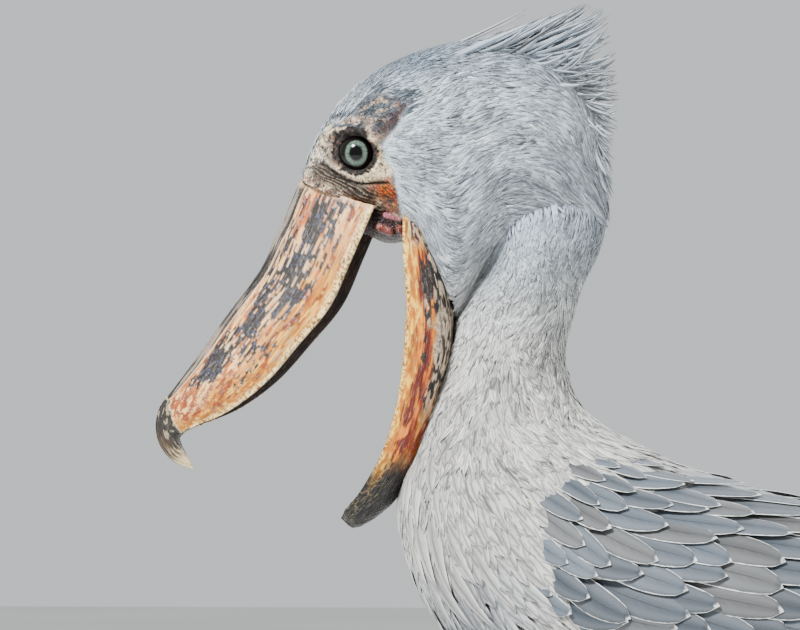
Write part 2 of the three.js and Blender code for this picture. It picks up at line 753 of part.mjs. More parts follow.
function addLeg(bird, label, side) {
  const lean = side < 0 ? -STRIDE : STRIDE;
  const thigh = makeThigh(side, lean);
  bird.add(meshOf(`thigh_${label}`, thigh, MATERIALS.plumage));
  bird.add(meshOf(`shin_${label}`, limb(shinStations(side, lean), 10), MATERIALS.scales));
  const tarsus = cutBy(limb(tarsusStations(side, lean), 10), [limb(shinStations(side, lean), 10, GAP)]);
  const grownTarsus = limb(tarsusStations(side, lean), 10, GAP);
  bird.add(meshOf(`tarsus_${label}`, tarsus, MATERIALS.scales));
  const placed = [grownTarsus];
  for (const size of TOES) {
    const toe = makeToe(side, lean, size);
    const solid = cutBy(toe.solid, placed);
    placed.push(makeToe(side, lean, { ...size, half: size.half + GAP }).solid);
    bird.add(meshOf(`toe_${size.name}_${label}`, solid, MATERIALS.scales));
    const clawLength = size.name === 'hind' ? HALLUX_CLAW_LENGTH : CLAW_LENGTH;
    bird.add(meshOf(`claw_${size.name}_${label}`, makeClaw(toe, clawLength), MATERIALS.claw));
  }
}

function makeBird() {
  const bird = new THREE.Group();
  const upperBill = makeUpperBill();
  const lowerBill = makeLowerBill();
  bird.add(meshOf('head', makeHead(), MATERIALS.plumage));
  bird.add(meshOf('upper_bill', upperBill, MATERIALS.horn));
  bird.add(meshOf('lower_bill', lowerBill, MATERIALS.horn));
  bird.add(meshOf('mouth', makeMouth(upperBill, lowerBill), MATERIALS.mouth));
  bird.add(meshOf('eye_left', eyeball(-1), MATERIALS.eye));
  bird.add(meshOf('eye_right', eyeball(1), MATERIALS.eye));
  bird.add(meshOf('neck', makeNeck(), MATERIALS.plumage));
  bird.add(meshOf('torso', makeTorso(), MATERIALS.plumage));
  const wing = makeWing(makeTail(GAP));
  bird.add(meshOf('wing_left', wing, MATERIALS.wing));
  bird.add(meshOf('wing_right', mirrored(wing), MATERIALS.wing));
  bird.add(meshOf('tail', makeTail(), MATERIALS.wing));
  addLeg(bird, 'left', -1);
  addLeg(bird, 'right', 1);
  return bird;
}

// The bird stands on the floor with the middle of its outline over the origin.
function centred(bird) {
  const box = new THREE.Box3().setFromObject(bird, true);
  const middle = box.getCenter(new THREE.Vector3());
  bird.position.set(-middle.x, -middle.y, -box.min.z);
  return bird;
}

export default centred(makeBird());
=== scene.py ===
"""Life-size shoebill with its bill wide open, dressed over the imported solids.

Shapes are worked out in the bird's own frame, in millimetres: +Z up, the bird faces -X and
its left side is towards -Y. They go into the meshes in metres, in the frame of the solids.
"""

import logging
import math
from abc import ABC, abstractmethod
from dataclasses import dataclass
from enum import Enum
from typing import Callable, Sequence

import bpy
import numpy as np
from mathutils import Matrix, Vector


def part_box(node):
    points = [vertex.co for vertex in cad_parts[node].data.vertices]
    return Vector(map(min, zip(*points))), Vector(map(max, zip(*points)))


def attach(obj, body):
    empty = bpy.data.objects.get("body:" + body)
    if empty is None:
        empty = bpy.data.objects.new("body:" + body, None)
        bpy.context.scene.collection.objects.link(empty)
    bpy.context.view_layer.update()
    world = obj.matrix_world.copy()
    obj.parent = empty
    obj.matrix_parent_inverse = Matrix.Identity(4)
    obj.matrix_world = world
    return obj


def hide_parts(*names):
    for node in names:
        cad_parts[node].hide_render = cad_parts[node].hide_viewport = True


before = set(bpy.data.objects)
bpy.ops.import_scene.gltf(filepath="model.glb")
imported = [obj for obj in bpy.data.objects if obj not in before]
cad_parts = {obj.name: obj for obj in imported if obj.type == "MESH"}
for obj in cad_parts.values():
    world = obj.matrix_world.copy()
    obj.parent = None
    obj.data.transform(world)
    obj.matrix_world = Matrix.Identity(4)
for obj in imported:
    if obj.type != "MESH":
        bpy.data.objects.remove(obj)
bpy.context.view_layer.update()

Array = np.ndarray
Material = bpy.types.Material
Piece = bpy.types.Object
LOG = logging.getLogger("shoebill")
MM = 1000.0  # millimetres in a metre
CHUNK = 4000  # points looked up at a time
ENDS = (0.004, 0.996)  # the shares of a form between which feathers follow it

EYE_AT = np.array([-236.0, 39.5, 886.0])
EYE_RADIUS = 14.0


def shift_to_frame() -> Array:
    """The move, in millimetres, from the bird's own frame to the frame of the solids.

    Returns:
        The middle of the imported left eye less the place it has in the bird's own frame.
    """
    low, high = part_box("eye_left")
    middle = (np.array(low, float) + np.array(high, float)) / 2 * MM
    return middle - EYE_AT * np.array([1.0, -1.0, 1.0])


SHIFT = shift_to_frame()


class Side(Enum):
    """The two sides of the bird; the value is the sign of Y."""

    LEFT = -1
    RIGHT = 1

    @property
    def label(self) -> str:
        """The side's name as the nodes have it."""
        return self.name.lower()


def ramp(low: float, high: float, value: Array) -> Array:
    """Rises from 0 at low to 1 at high as 3t^2 - 2t^3."""
    t = np.clip((value - low) / (high - low), 0.0, 1.0)
    return t * t * (3.0 - 2.0 * t)


def unit(vectors: Array) -> Array:
    """The vectors divided by their own lengths."""
    return vectors / np.maximum(np.linalg.norm(vectors, axis=-1, keepdims=True), 1e-9)


def mix(first: Array, second: Array, share: Array) -> Array:
    """The blend of two arrays, first where share is 0 and second where it is 1."""
    return first + (second - first) * share


def hump(distance: Array, width: float) -> Array:
    """A bell of height 1 that falls to a third at width: e^-(d/w)^2."""
    return np.exp(-((distance / width) ** 2))


def srgb(code: str) -> Array:
    """A hex colour as linear red, green and blue: ((c + 0.055) / 1.055)^2.4."""
    values = np.array([int(code[i:i + 2], 16) for i in (0, 2, 4)]) / 255.0
    return np.where(values <= 0.04045, values / 12.92, ((values + 0.055) / 1.055) ** 2.4)


def paint(under: Array | str, over: Array | str, share: Array) -> Array:
    """Linear colours, under + (over - under) * share, from hex or linear ones and shares."""
    under, over = (srgb(colour) if isinstance(colour, str) else colour for colour in (under, over))
    return mix(under, over, share[..., None])


def deepened(colour: Array) -> Array:
    """Paint mixed for strong soft light: c (0.24 + 0.8 c), then 1.2 times as far from its grey.

    Args:
        colour: Linear colours.

    Returns:
        Deeper linear colours.
    """
    rich = colour * (0.24 + 0.8 * colour)
    grey = rich.mean(axis=-1, keepdims=True)
    return np.clip(grey + (rich - grey) * 1.2, 0.002, 1.0)


def through(knots: Array, t: Array) -> Array:
    """Points on a smooth curve through knots.

    Between two knots it is a cubic whose end slopes are half the chord between the knots on
    either side. Past the ends the outermost chord is repeated.

    Args:
        knots: One row per knot.
        t: Shares of the whole length, from 0 to 1, in any shape.

    Returns:
        An array of t's shape with one more axis, of the knots' columns.
    """
    last = len(knots) - 1
    padded = np.vstack([2 * knots[0] - knots[1], knots, 2 * knots[-1] - knots[-2]])
    place = np.clip(t, 0.0, 1.0) * last
    span = np.minimum(place.astype(int), last - 1)
    w = (place - span)[..., None]
    before, here, there, after = (padded[span + k] for k in range(4))
    leave, arrive = 0.5 * (there - before), 0.5 * (after - here)
    return (
        (2 * w**3 - 3 * w**2 + 1) * here
        + (w**3 - 2 * w**2 + w) * leave
        + (3 * w**2 - 2 * w**3) * there
        + (w**3 - w**2) * arrive
    )


@dataclass(frozen=True)
class Rib:
    """One cross-section: its ends in the plane of symmetry, half width and egg shape."""

    top: tuple[float, float]
    bottom: tuple[float, float]
    half: float
    egg: float = 0.0


class RibForm:
    """A body part swept through ribs, as a surface of share s and angle.

    At share s the section's middle is halfway between its top and bottom. A point of it is
    middle + up * cos(angle), and its y is -half * sin(angle) * (1 + egg * cos(angle)), so
    that angle 0 is the top and a quarter turn is the left side.
    """

    STEP = 0.004  # share and angle over which slopes are taken
    CELLS = (160, 144)  # the grid places are drawn from
    FAN = (90, 41)  # the grid of the plane of symmetry
    NEAR = 6.0  # millimetres from it that still count as in the plane

    def __init__(self, ribs: Sequence[Rib]) -> None:
        """Keeps the ribs' ends as knots of two curves."""
        self.tops = np.array([[rib.top[0], rib.half, rib.top[1]] for rib in ribs], float)
        self.bottoms = np.array([[rib.bottom[0], rib.egg, rib.bottom[1]] for rib in ribs], float)

    def frame_at(self, s: Array) -> tuple[Array, Array, Array, Array]:
        """The section's middle, half height as a vector, half width and egg at share s.

        Args:
            s: Shares along.

        Returns:
            The four, one row for each share.
        """
        top, bottom = through(self.tops, s), through(self.bottoms, s)
        half, egg = top[..., 1].copy(), bottom[..., 1].copy()
        top[..., 1] = 0.0
        bottom[..., 1] = 0.0
        return (top + bottom) / 2, (top - bottom) / 2, half, egg

    def point(self, s: Array, angle: Array, lift: Array | float = 0.0) -> Array:
        """The surface raised by lift, at shares s and angles of one shape.

        Args:
            s: Shares along.
            angle: Angles round.
            lift: Millimetres off the form.

        Returns:
            Points in the bird's frame.
        """
        s, angle, lift = np.broadcast_arrays(s, angle, lift)
        middle, up, half, egg = self.frame_at(s)
        height = np.linalg.norm(up, axis=-1)
        points = middle + up * (np.cos(angle) * (height + lift) / height)[..., None]
        points[..., 1] = -(half + lift) * np.sin(angle) * (1 + egg * np.cos(angle))
        return points

    def axes(self, s: Array, angle: Array) -> tuple[Array, Array, Array, Array, Array]:
        """The unit directions along, round and out of the surface, and two rates.

        Args:
            s: Shares along.
            angle: Angles round.

        Returns:
            Along, round, outward, and the millimetres per unit of s and per radian.
        """
        step = self.STEP
        s = np.clip(s, step, 1 - step)
        along = (self.point(s + step, angle) - self.point(s - step, angle)) / (2 * step)
        around = (self.point(s, angle + step) - self.point(s, angle - step)) / (2 * step)
        out = unit(np.cross(around, along))
        rates = np.linalg.norm(along, axis=-1), np.linalg.norm(around, axis=-1)
        return unit(along), unit(around), out, *rates

    def grid(self, rings: int, sides: int, lift: float = 0.0) -> tuple[Array, Array]:
        """The closed surface raised by lift, as vertices and faces, ends closed by fans."""
        return closed_tube(self.point(*ring_grid(rings, sides), lift))

    def scatter(
        self, count: int, rng: np.random.Generator, weight: Callable[[Array, Array], Array]
    ) -> tuple[Array, Array]:
        """Places strewn over the surface, as thick as weight says for each area.

        The chance of a cell of a fine grid is its area times weight there; a place is drawn
        from the running sum of the chances and strewn evenly inside its cell.

        Args:
            count: How many places.
            rng: Draws them.
            weight: Gives the thickness at grids of share and angle.

        Returns:
            Shares and angles.
        """
        cells_s, cells_a = self.CELLS
        s = (np.arange(cells_s) + 0.5) / cells_s
        a = (np.arange(cells_a) + 0.5) / cells_a * 2 * np.pi
        s, a = np.meshgrid(s, a, indexing="ij")
        *_, per_s, per_a = self.axes(s, a)
        total = np.cumsum((per_s * per_a * np.maximum(weight(s, a), 0.0)).ravel())
        pick = np.searchsorted(total, rng.random(count) * total[-1])
        spread = rng.random((2, count)) - 0.5
        return s.ravel()[pick] + spread[0] / cells_s, a.ravel()[pick] + spread[1] * 2 * np.pi / cells_a

    def holds(self, points: Array, margin: float = 0.0) -> Array:
        """Whether points lie deeper inside the form than margin.

        The plane of symmetry is looked up on a fine fan of s and height v from -1 to 1; a
        point is inside where it is near the fan and |y| is under the half width times
        sqrt(1 - v^2).

        Args:
            points: Rows of points.
            margin: Millimetres.

        Returns:
            One truth value for each point.
        """
        share, height = np.linspace(0, 1, self.FAN[0]), np.linspace(-1, 1, self.FAN[1])
        s, v = np.meshgrid(share, height, indexing="ij")
        middle, up, half, egg = self.frame_at(s)
        fan = (middle + up * v[..., None])[..., [0, 2]].reshape(-1, 2)
        wide = (half * np.sqrt(1 - v * v) * (1 + egg * v)).ravel()
        inside = np.zeros(len(points), bool)
        for part in np.array_split(np.arange(len(points)), max(1, len(points) // CHUNK)):
            gap = np.linalg.norm(points[part][:, None, [0, 2]] - fan[None], axis=-1)
            near = gap.argmin(axis=1)
            close = gap[np.arange(len(part)), near] < self.NEAR
            inside[part] = close & (np.abs(points[part, 1]) < wide[near] - margin)
        return inside


def ring_grid(rings: int, sides: int) -> tuple[Array, Array]:
    """Shares from 0 to 1 by rows and angles over a full turn by columns, as two grids."""
    return np.meshgrid(np.linspace(0, 1, rings), np.arange(sides) * 2 * np.pi / sides, indexing="ij")


def sheet_faces(rows: int, columns: int) -> Array:
    """The four-cornered faces of a sheet of points in rows and columns.

    Args:
        rows: How many rows.
        columns: Points in a row.

    Returns:
        Faces as rows of vertex numbers.
    """
    i, j = np.meshgrid(np.arange(rows - 1), np.arange(columns - 1), indexing="ij")
    a = i * columns + j
    return np.stack([a, a + 1, a + columns + 1, a + columns], -1).reshape(-1, 4)


def closed_tube(rows: Array) -> tuple[Array, Array]:
    """A tube from rings of points, each end closed by a fan round its middle.

    Args:
        rows: Points as ring, side, coordinate; the last side meets the first.

    Returns:
        Vertices and triangles with their faces outwards.
    """
    rings, sides, _ = rows.shape
    points = np.vstack([rows.reshape(-1, 3), rows[0].mean(0), rows[-1].mean(0)])
    i, j = np.meshgrid(np.arange(rings - 1), np.arange(sides), indexing="ij")
    a, b = i * sides + j, i * sides + (j + 1) % sides
    c, d = b + sides, a + sides
    walls = np.stack([a, b, c, a, c, d], -1).reshape(-1, 3)
    j = np.arange(sides)
    start = np.stack([np.full(sides, rings * sides), (j + 1) % sides, j], -1)
    base = (rings - 1) * sides
    end = np.stack([np.full(sides, rings * sides + 1), base + j, base + (j + 1) % sides], -1)
    return facing_out(points, np.vstack([walls, start, end]))


def facing_out(points: Array, faces: Array) -> tuple[Array, Array]:
    """Turns all the faces over where the volume they close comes out below zero."""
    a, b, c = (points[faces[:, k]] for k in range(3))
    return points, faces if np.einsum("ij,ij", a, np.cross(b, c)) > 0 else faces[:, ::-1]


def linked(name: str, data: bpy.types.ID) -> Piece:
    """A new object at the origin that holds the data, linked to the scene.

    Args:
        name: The object's name.
        data: A mesh, a light or a camera.

    Returns:
        The object.
    """
    piece = bpy.data.objects.new(name, data)
    bpy.context.scene.collection.objects.link(piece)
    return piece


def set_places(mesh: bpy.types.Mesh, points: Array) -> None:
    """Moves a mesh's vertices to points in millimetres in the bird's own frame."""
    mesh.vertices.foreach_set("co", ((points + SHIFT) / MM).astype(np.float32).ravel())


def set_tint(mesh: bpy.types.Mesh, tint: Array) -> None:
    """Keeps linear colours, one row per vertex, in the attribute Tint.

    Args:
        mesh: The mesh.
        tint: The colours.
    """
    colours = np.concatenate([np.clip(tint, 0, 1), np.ones((len(tint), 1))], axis=1)
    layer = mesh.color_attributes.new("Tint", "FLOAT_COLOR", "POINT")
    layer.data.foreach_set("color", colours.astype(np.float32).ravel())


def new_mesh(
    name: str,
    points: Array,
    faces: Array,
    *,
    material: Material,
    maps: dict[str, Array] | None = None,
    tint: Array | None = None,
    normals: Array | None = None,
) -> Piece:
    """A mesh object at the origin from whole arrays.

    Args:
        name: The object's name.
        points: Vertices in millimetres, in the bird's own frame.
        faces: Triangles or four-cornered faces, as rows of vertex numbers.
        material: Its one material.
        maps: UV maps by name, with one row per vertex.
        tint: Linear colours, one row per vertex, kept in the attribute Tint.
        normals: Directions for the shading, one row per vertex.

    Returns:
        The new object, linked to the scene.
    """
    corners = faces.shape[1]
    mesh = bpy.data.meshes.new(name)
    mesh.vertices.add(len(points))
    set_places(mesh, points)
    mesh.loops.add(faces.size)
    mesh.loops.foreach_set("vertex_index", faces.astype(np.int32).ravel())
    mesh.polygons.add(len(faces))
    mesh.polygons.foreach_set("loop_start", np.arange(0, faces.size, corners, dtype=np.int32))
    mesh.polygons.foreach_set("use_smooth", np.ones(len(faces), bool))
    mesh.update(calc_edges=True)
    for key, rows in (maps or {}).items():
        layer = mesh.uv_layers.new(name=key)
        layer.data.foreach_set("uv", rows[faces.ravel()].astype(np.float32).ravel())
    if tint is not None:
        set_tint(mesh, tint)
    if normals is not None:
        mesh.normals_split_custom_set_from_vertices(normals)
    mesh.materials.append(material)
    return linked(name, mesh)


def settle(piece: Piece, slot: str, *nodes: str) -> None:
    """Fixes a piece to the body, hides the solids it stands for and reports it.

    Args:
        piece: The object.
        slot: Not used.
        nodes: The solids it stands for, if any.
    """
    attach(piece, "root")
    if nodes:
        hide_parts(*nodes)
    mesh = piece.data
    mesh.calc_loop_triangles()
    LOG.info("%s: %d triangles", piece.name, len(mesh.loop_triangles))


class Plume(Enum):
    """The cuts of small feathers: shares of length, width at each and rise off the body."""

    BRISTLE = ((0.0, 0.5), (0.85, 1.0), (0.0, 0.65))
    SOFT = ((0.0, 0.4, 0.78), (0.7, 1.0, 0.72), (0.0, 0.65, 0.9))
    LONG = ((0.0, 0.25, 0.5, 0.72, 0.88), (0.7, 1.0, 0.9, 0.62, 0.34), (0.0, 0.5, 0.75, 0.9, 1.0))


class Coat:
    """Small feathers laid over a form, gathered as arrays and made into one mesh.

    A feather has a left, a ridge and a right point at each of its stations and ends in one
    point. It is a closed, flat-bottomed lock. Its line starts at its root on the form, runs
    along the lie, and rises from sunk to lift as its cut says.
    """

    LIMIT = 185000  # triangles in one mesh
    LEAN = 0.45  # how far the shading turns to either side
    RIDGE = 0.3  # the ridge's height in half widths
    PATCH = 0.003  # a feather's size on the OFBake map
    BORDER = 0.02  # that map's empty edge

    def __init__(self, name: str) -> None:
        """Starts an empty coat.

        Args:
            name: Its piece's name.
        """
        self.name = name
        self.points: list[Array] = []
        self.faces: list[Array] = []
        self.bake: list[Array] = []
        self.vane: list[Array] = []
        self.tint: list[Array] = []
        self.normals: list[Array] = []
        self.size = 0

    def lay(
        self,
        form: RibForm,
        s: Array,
        angle: Array,
        *,
        cut: Plume,
        length: Array,
        width: Array,
        lift: Array,
        turn: Array,
        colour: Array,
        sunk: float = 1.5,
    ) -> None:
        """Lays feathers with roots at (s, angle).

        A station at share t of the length lies at s + t * length * cos(turn) / rate_s and
        angle + t * length * sin(turn) / rate_a, raised by mix(-sunk, lift, rise(t)).

        Args:
            form: What they grow on.
            s: Root shares, one per feather.
            angle: Root angles.
            cut: Their outline.
            length: Lengths in millimetres.
            width: Widths in millimetres.
            lift: How far the tips stand off.
            turn: The lie's turn from straight along the form, in radians.
            colour: Linear colours, one row per feather.
            sunk: How deep the roots sit.
        """
        shares, _, rises = (np.array(row) for row in cut.value)
        t = np.append(shares, 1.0)
        rise = np.append(rises, 1.0)
        *_, per_s, per_a = form.axes(s, angle)
        along = s[:, None] + t * (length * np.cos(turn) / per_s)[:, None]
        around = angle[:, None] + t * (length * np.sin(turn) / np.maximum(per_a, 8.0))[:, None]
        past = np.maximum(along - ENDS[1], 0.0) * per_s[:, None]
        along = np.clip(along, *ENDS)
        line = form.point(along, around, mix(-sunk, lift[:, None], rise))
        run, _, out, *_ = form.axes(along, around)
        line = line + run * past[..., None]
        self.add(line, out, cut=cut, width=width, colour=colour, root=(s, angle))

    def add(
        self,
        line: Array,
        out: Array,
        *,
        cut: Plume,
        width: Array,
        colour: Array,
        root: tuple[Array, Array],
        soft: bool = True,
    ) -> None:
        """Adds feathers whose middle lines are known, but for those that would cross the
        hollow of the lower bill.

        Left and right points lie half a width on either side of the line, and the ridge
        stands 0.3 of that above it. The shading's normals are those of the body, leaning
        by 0.45 to either side, so that the coat looks soft.

        Args:
            line: Points as feather, station, coordinate, the last one the tip.
            out: Directions away from the body at the same stations.
            cut: Their outline.
            width: Widths in millimetres.
            colour: Linear colours, one row per feather.
            root: Shares and angles of the roots, for the OFBake map.
            soft: Whether the shading follows the body rather than the feather.
        """
        free = ~LOWER_BILL.holds(line, 0.5).any(axis=1)
        line, out, width, colour = line[free], out[free], width[free], colour[free]
        root = root[0][free], root[1][free]
        shares, widths, _ = (np.array(row) for row in cut.value)
        count, k = len(line), len(shares)
        heading = unit(np.gradient(line, axis=1))
        side = unit(np.cross(out, heading))
        if soft:
            spread = np.stack([unit(out + side * tilt) for tilt in (-self.LEAN, 0.0, self.LEAN)], 2)[:, :k]
            self.normals.append(
                np.concatenate([spread.reshape(count, 3 * k, 3), out[:, -1:]], axis=1).reshape(-1, 3)
            )
        out = unit(np.cross(heading, side))
        half = (width[:, None] * np.append(widths, 0.0) / 2)[..., None]
        ridge = line + out * half * self.RIDGE
        left, right = line - side * half, line + side * half
        body = np.stack([left[:, :k], ridge[:, :k], right[:, :k]], 2).reshape(count, 3 * k, 3)
        points = np.concatenate([body, line[:, -1:]], axis=1)
        faces = self.template(k)
        self.faces.append(
            (faces[None] + (np.arange(count) * (3 * k + 1))[:, None, None] + self.size).reshape(-1, 3)
        )
        self.points.append(points.reshape(-1, 3))
        across = np.concatenate([np.tile([0.0, 0.5, 1.0], k), [0.5]])
        down = np.concatenate([np.repeat(shares, 3), [1.0]])
        self.vane.append(np.tile(np.stack([across, down], 1), (count, 1)))
        s, angle = root
        spot = np.stack([np.clip(s, 0, 1), (angle / (2 * np.pi)) % 1.0], 1)
        place = self.BORDER + (1 - 2 * self.BORDER) * spot
        patch = np.stack([across - 0.5, down - 0.5], 1) * self.PATCH
        self.bake.append((place[:, None] + patch[None]).reshape(-1, 2))
        self.tint.append(np.repeat(colour, 3 * k + 1, axis=0))
        self.size += count * (3 * k + 1)

    @staticmethod
    def template(stations: int) -> Array:
        """The triangles of one feather with this many stations, faces outwards.

        Args:
            stations: How many it has before its tip.

        Returns:
            Triangles as rows of vertex numbers.
        """
        rows = [[0, 1, 2]]
        for i in range(stations - 1):
            a, b = 3 * i, 3 * (i + 1)
            for first, second in ((0, 1), (1, 2), (2, 0)):
                rows += [[a + first, b + second, a + second], [a + first, b + first, b + second]]
        last, tip = 3 * (stations - 1), 3 * stations
        rows += [[last, tip, last + 1], [last + 1, tip, last + 2], [last + 2, tip, last]]
        return np.array(rows)

    def make(self, material: Material) -> None:
        """Makes the coat's meshes, cut so that each stays under the limit of triangles.

        Args:
            material: Its finish.
        """
        points, faces = np.vstack(self.points), np.vstack(self.faces)
        maps = {"OFBake": np.vstack(self.bake), "Vane": np.vstack(self.vane)}
        tint = np.vstack(self.tint)
        normals = np.vstack(self.normals) if self.normals else None
        parts = math.ceil(len(faces) / self.LIMIT)
        edges = np.linspace(0, len(faces), parts + 1).astype(int)
        for part in range(parts):
            own = faces[edges[part]:edges[part + 1]]
            used, fresh = np.unique(own, return_inverse=True)
            piece = new_mesh(
                f"{self.name}_{part + 1}" if parts > 1 else self.name,
                points[used],
                fresh.reshape(own.shape),
                material=material,
                maps={key: rows[used] for key, rows in maps.items()},
                tint=tint[used],
                normals=None if normals is None else normals[used],
            )
            settle(piece, "plumage")


class Vanes:
    """Large feathers, each a thin closed shell with a shaft, gathered into one mesh."""

    ACROSS = 6  # faces across a feather
    ALONG = 11  # points along it
    BORDER = 0.03  # the OFBake map's empty edge
    GAP = 0.1  # the share of a cell left free at each side

    def __init__(self, name: str) -> None:
        """Starts an empty set.

        Args:
            name: Its piece's name.
        """
        self.name = name
        self.points: list[Array] = []
        self.vane: list[Array] = []
        self.tint: list[Array] = []

    def lay(
        self,
        line: Callable[[Array, Array], tuple[Array, Array]],
        *,
        tip: float,
        thick: float,
        colour: Array,
    ) -> None:
        """Adds one feather.

        Its upper face is the surface that line gives for t along and c across, c running
        from -1 to 1 times the outline's width share; its lower face lies thick below it,
        thinning to 30% at the edges.

        Args:
            line: Gives points and outward directions for grids of t and c.
            tip: The share of the length from which its end is rounded.
            thick: Thickness along the shaft in millimetres.
            colour: Its linear colour.
        """
        t, c = np.meshgrid(
            np.linspace(0, 1, self.ALONG) ** 0.85, np.linspace(-1, 1, self.ACROSS + 1), indexing="ij"
        )
        upper, out = line(t, c * vane_outline(t, tip))
        lower = upper - out * (thick * (1 - 0.7 * np.abs(c)))[..., None]
        self.points.append(np.concatenate([upper.reshape(-1, 3), lower.reshape(-1, 3)]))
        vane = np.stack([(c + 1) / 2, t], -1).reshape(-1, 2)
        self.vane.append(np.tile(vane, (2, 1)))
        self.tint.append(np.tile(colour, (2 * vane.shape[0], 1)))

    def make(self, material: Material, node: str) -> None:
        """Makes the mesh: two faces and a rim for each feather.

        On the OFBake map each feather has a cell of its own in a square lattice.

        Args:
            material: Its finish.
            node: The solid it stands for.
        """
        columns, rows = self.ACROSS + 1, self.ALONG
        upper = sheet_faces(rows, columns)
        lower = upper[:, ::-1] + columns * rows
        rim = np.concatenate([
            np.arange(columns),
            np.arange(1, rows) * columns + columns - 1,
            (rows - 1) * columns + np.arange(columns - 2, -1, -1),
            np.arange(rows - 2, 0, -1) * columns,
        ])
        after = np.roll(rim, -1)
        wall = np.stack([after, rim, rim + columns * rows, after + columns * rows], -1)
        one = np.vstack([upper, lower, wall])
        count = len(self.points)
        size = 2 * columns * rows
        faces = (one[None] + (np.arange(count) * size)[:, None, None]).reshape(-1, 4)
        points = np.vstack(self.points)
        a, b, c = (points[upper[0][k]] for k in range(3))
        if np.dot(np.cross(b - a, c - a), points[upper[0][0]] - points[lower[0][3]]) < 0:
            faces = faces[:, ::-1]
        cells = math.ceil(math.sqrt(count))
        corner = np.stack([np.arange(count) % cells, np.arange(count) // cells], -1)
        vane = np.array(self.vane)
        inner = corner[:, None] + self.GAP + (1 - 2 * self.GAP) * vane
        bake = (self.BORDER + (1 - 2 * self.BORDER) * inner / cells).reshape(-1, 2)
        piece = new_mesh(
            self.name,
            points,
            faces,
            material=material,
            maps={"OFBake": bake, "Vane": vane.reshape(-1, 2)},
            tint=np.vstack(self.tint),
        )
        settle(piece, "wing_feathers", node)


@dataclass(frozen=True)
class Wire:
    """One output of a material's node; signs of arithmetic join it to further nodes."""

    graph: "Graph"
    socket: bpy.types.NodeSocket

    def __add__(self, other: "Source") -> "Wire":
        """The sum."""
        return self.graph.math("ADD", self, other)

    def __sub__(self, other: "Source") -> "Wire":
        """The difference."""
        return self.graph.math("SUBTRACT", self, other)

    def __mul__(self, other: "Source") -> "Wire":
        """The product."""
        return self.graph.math("MULTIPLY", self, other)

    def __pow__(self, other: "Source") -> "Wire":
        """The power."""
        return self.graph.math("POWER", self, other)

    def __abs__(self) -> "Wire":
        """The number without its sign."""
        return self.graph.math("ABSOLUTE", self)


Source = Wire | str | float | tuple[float, ...]


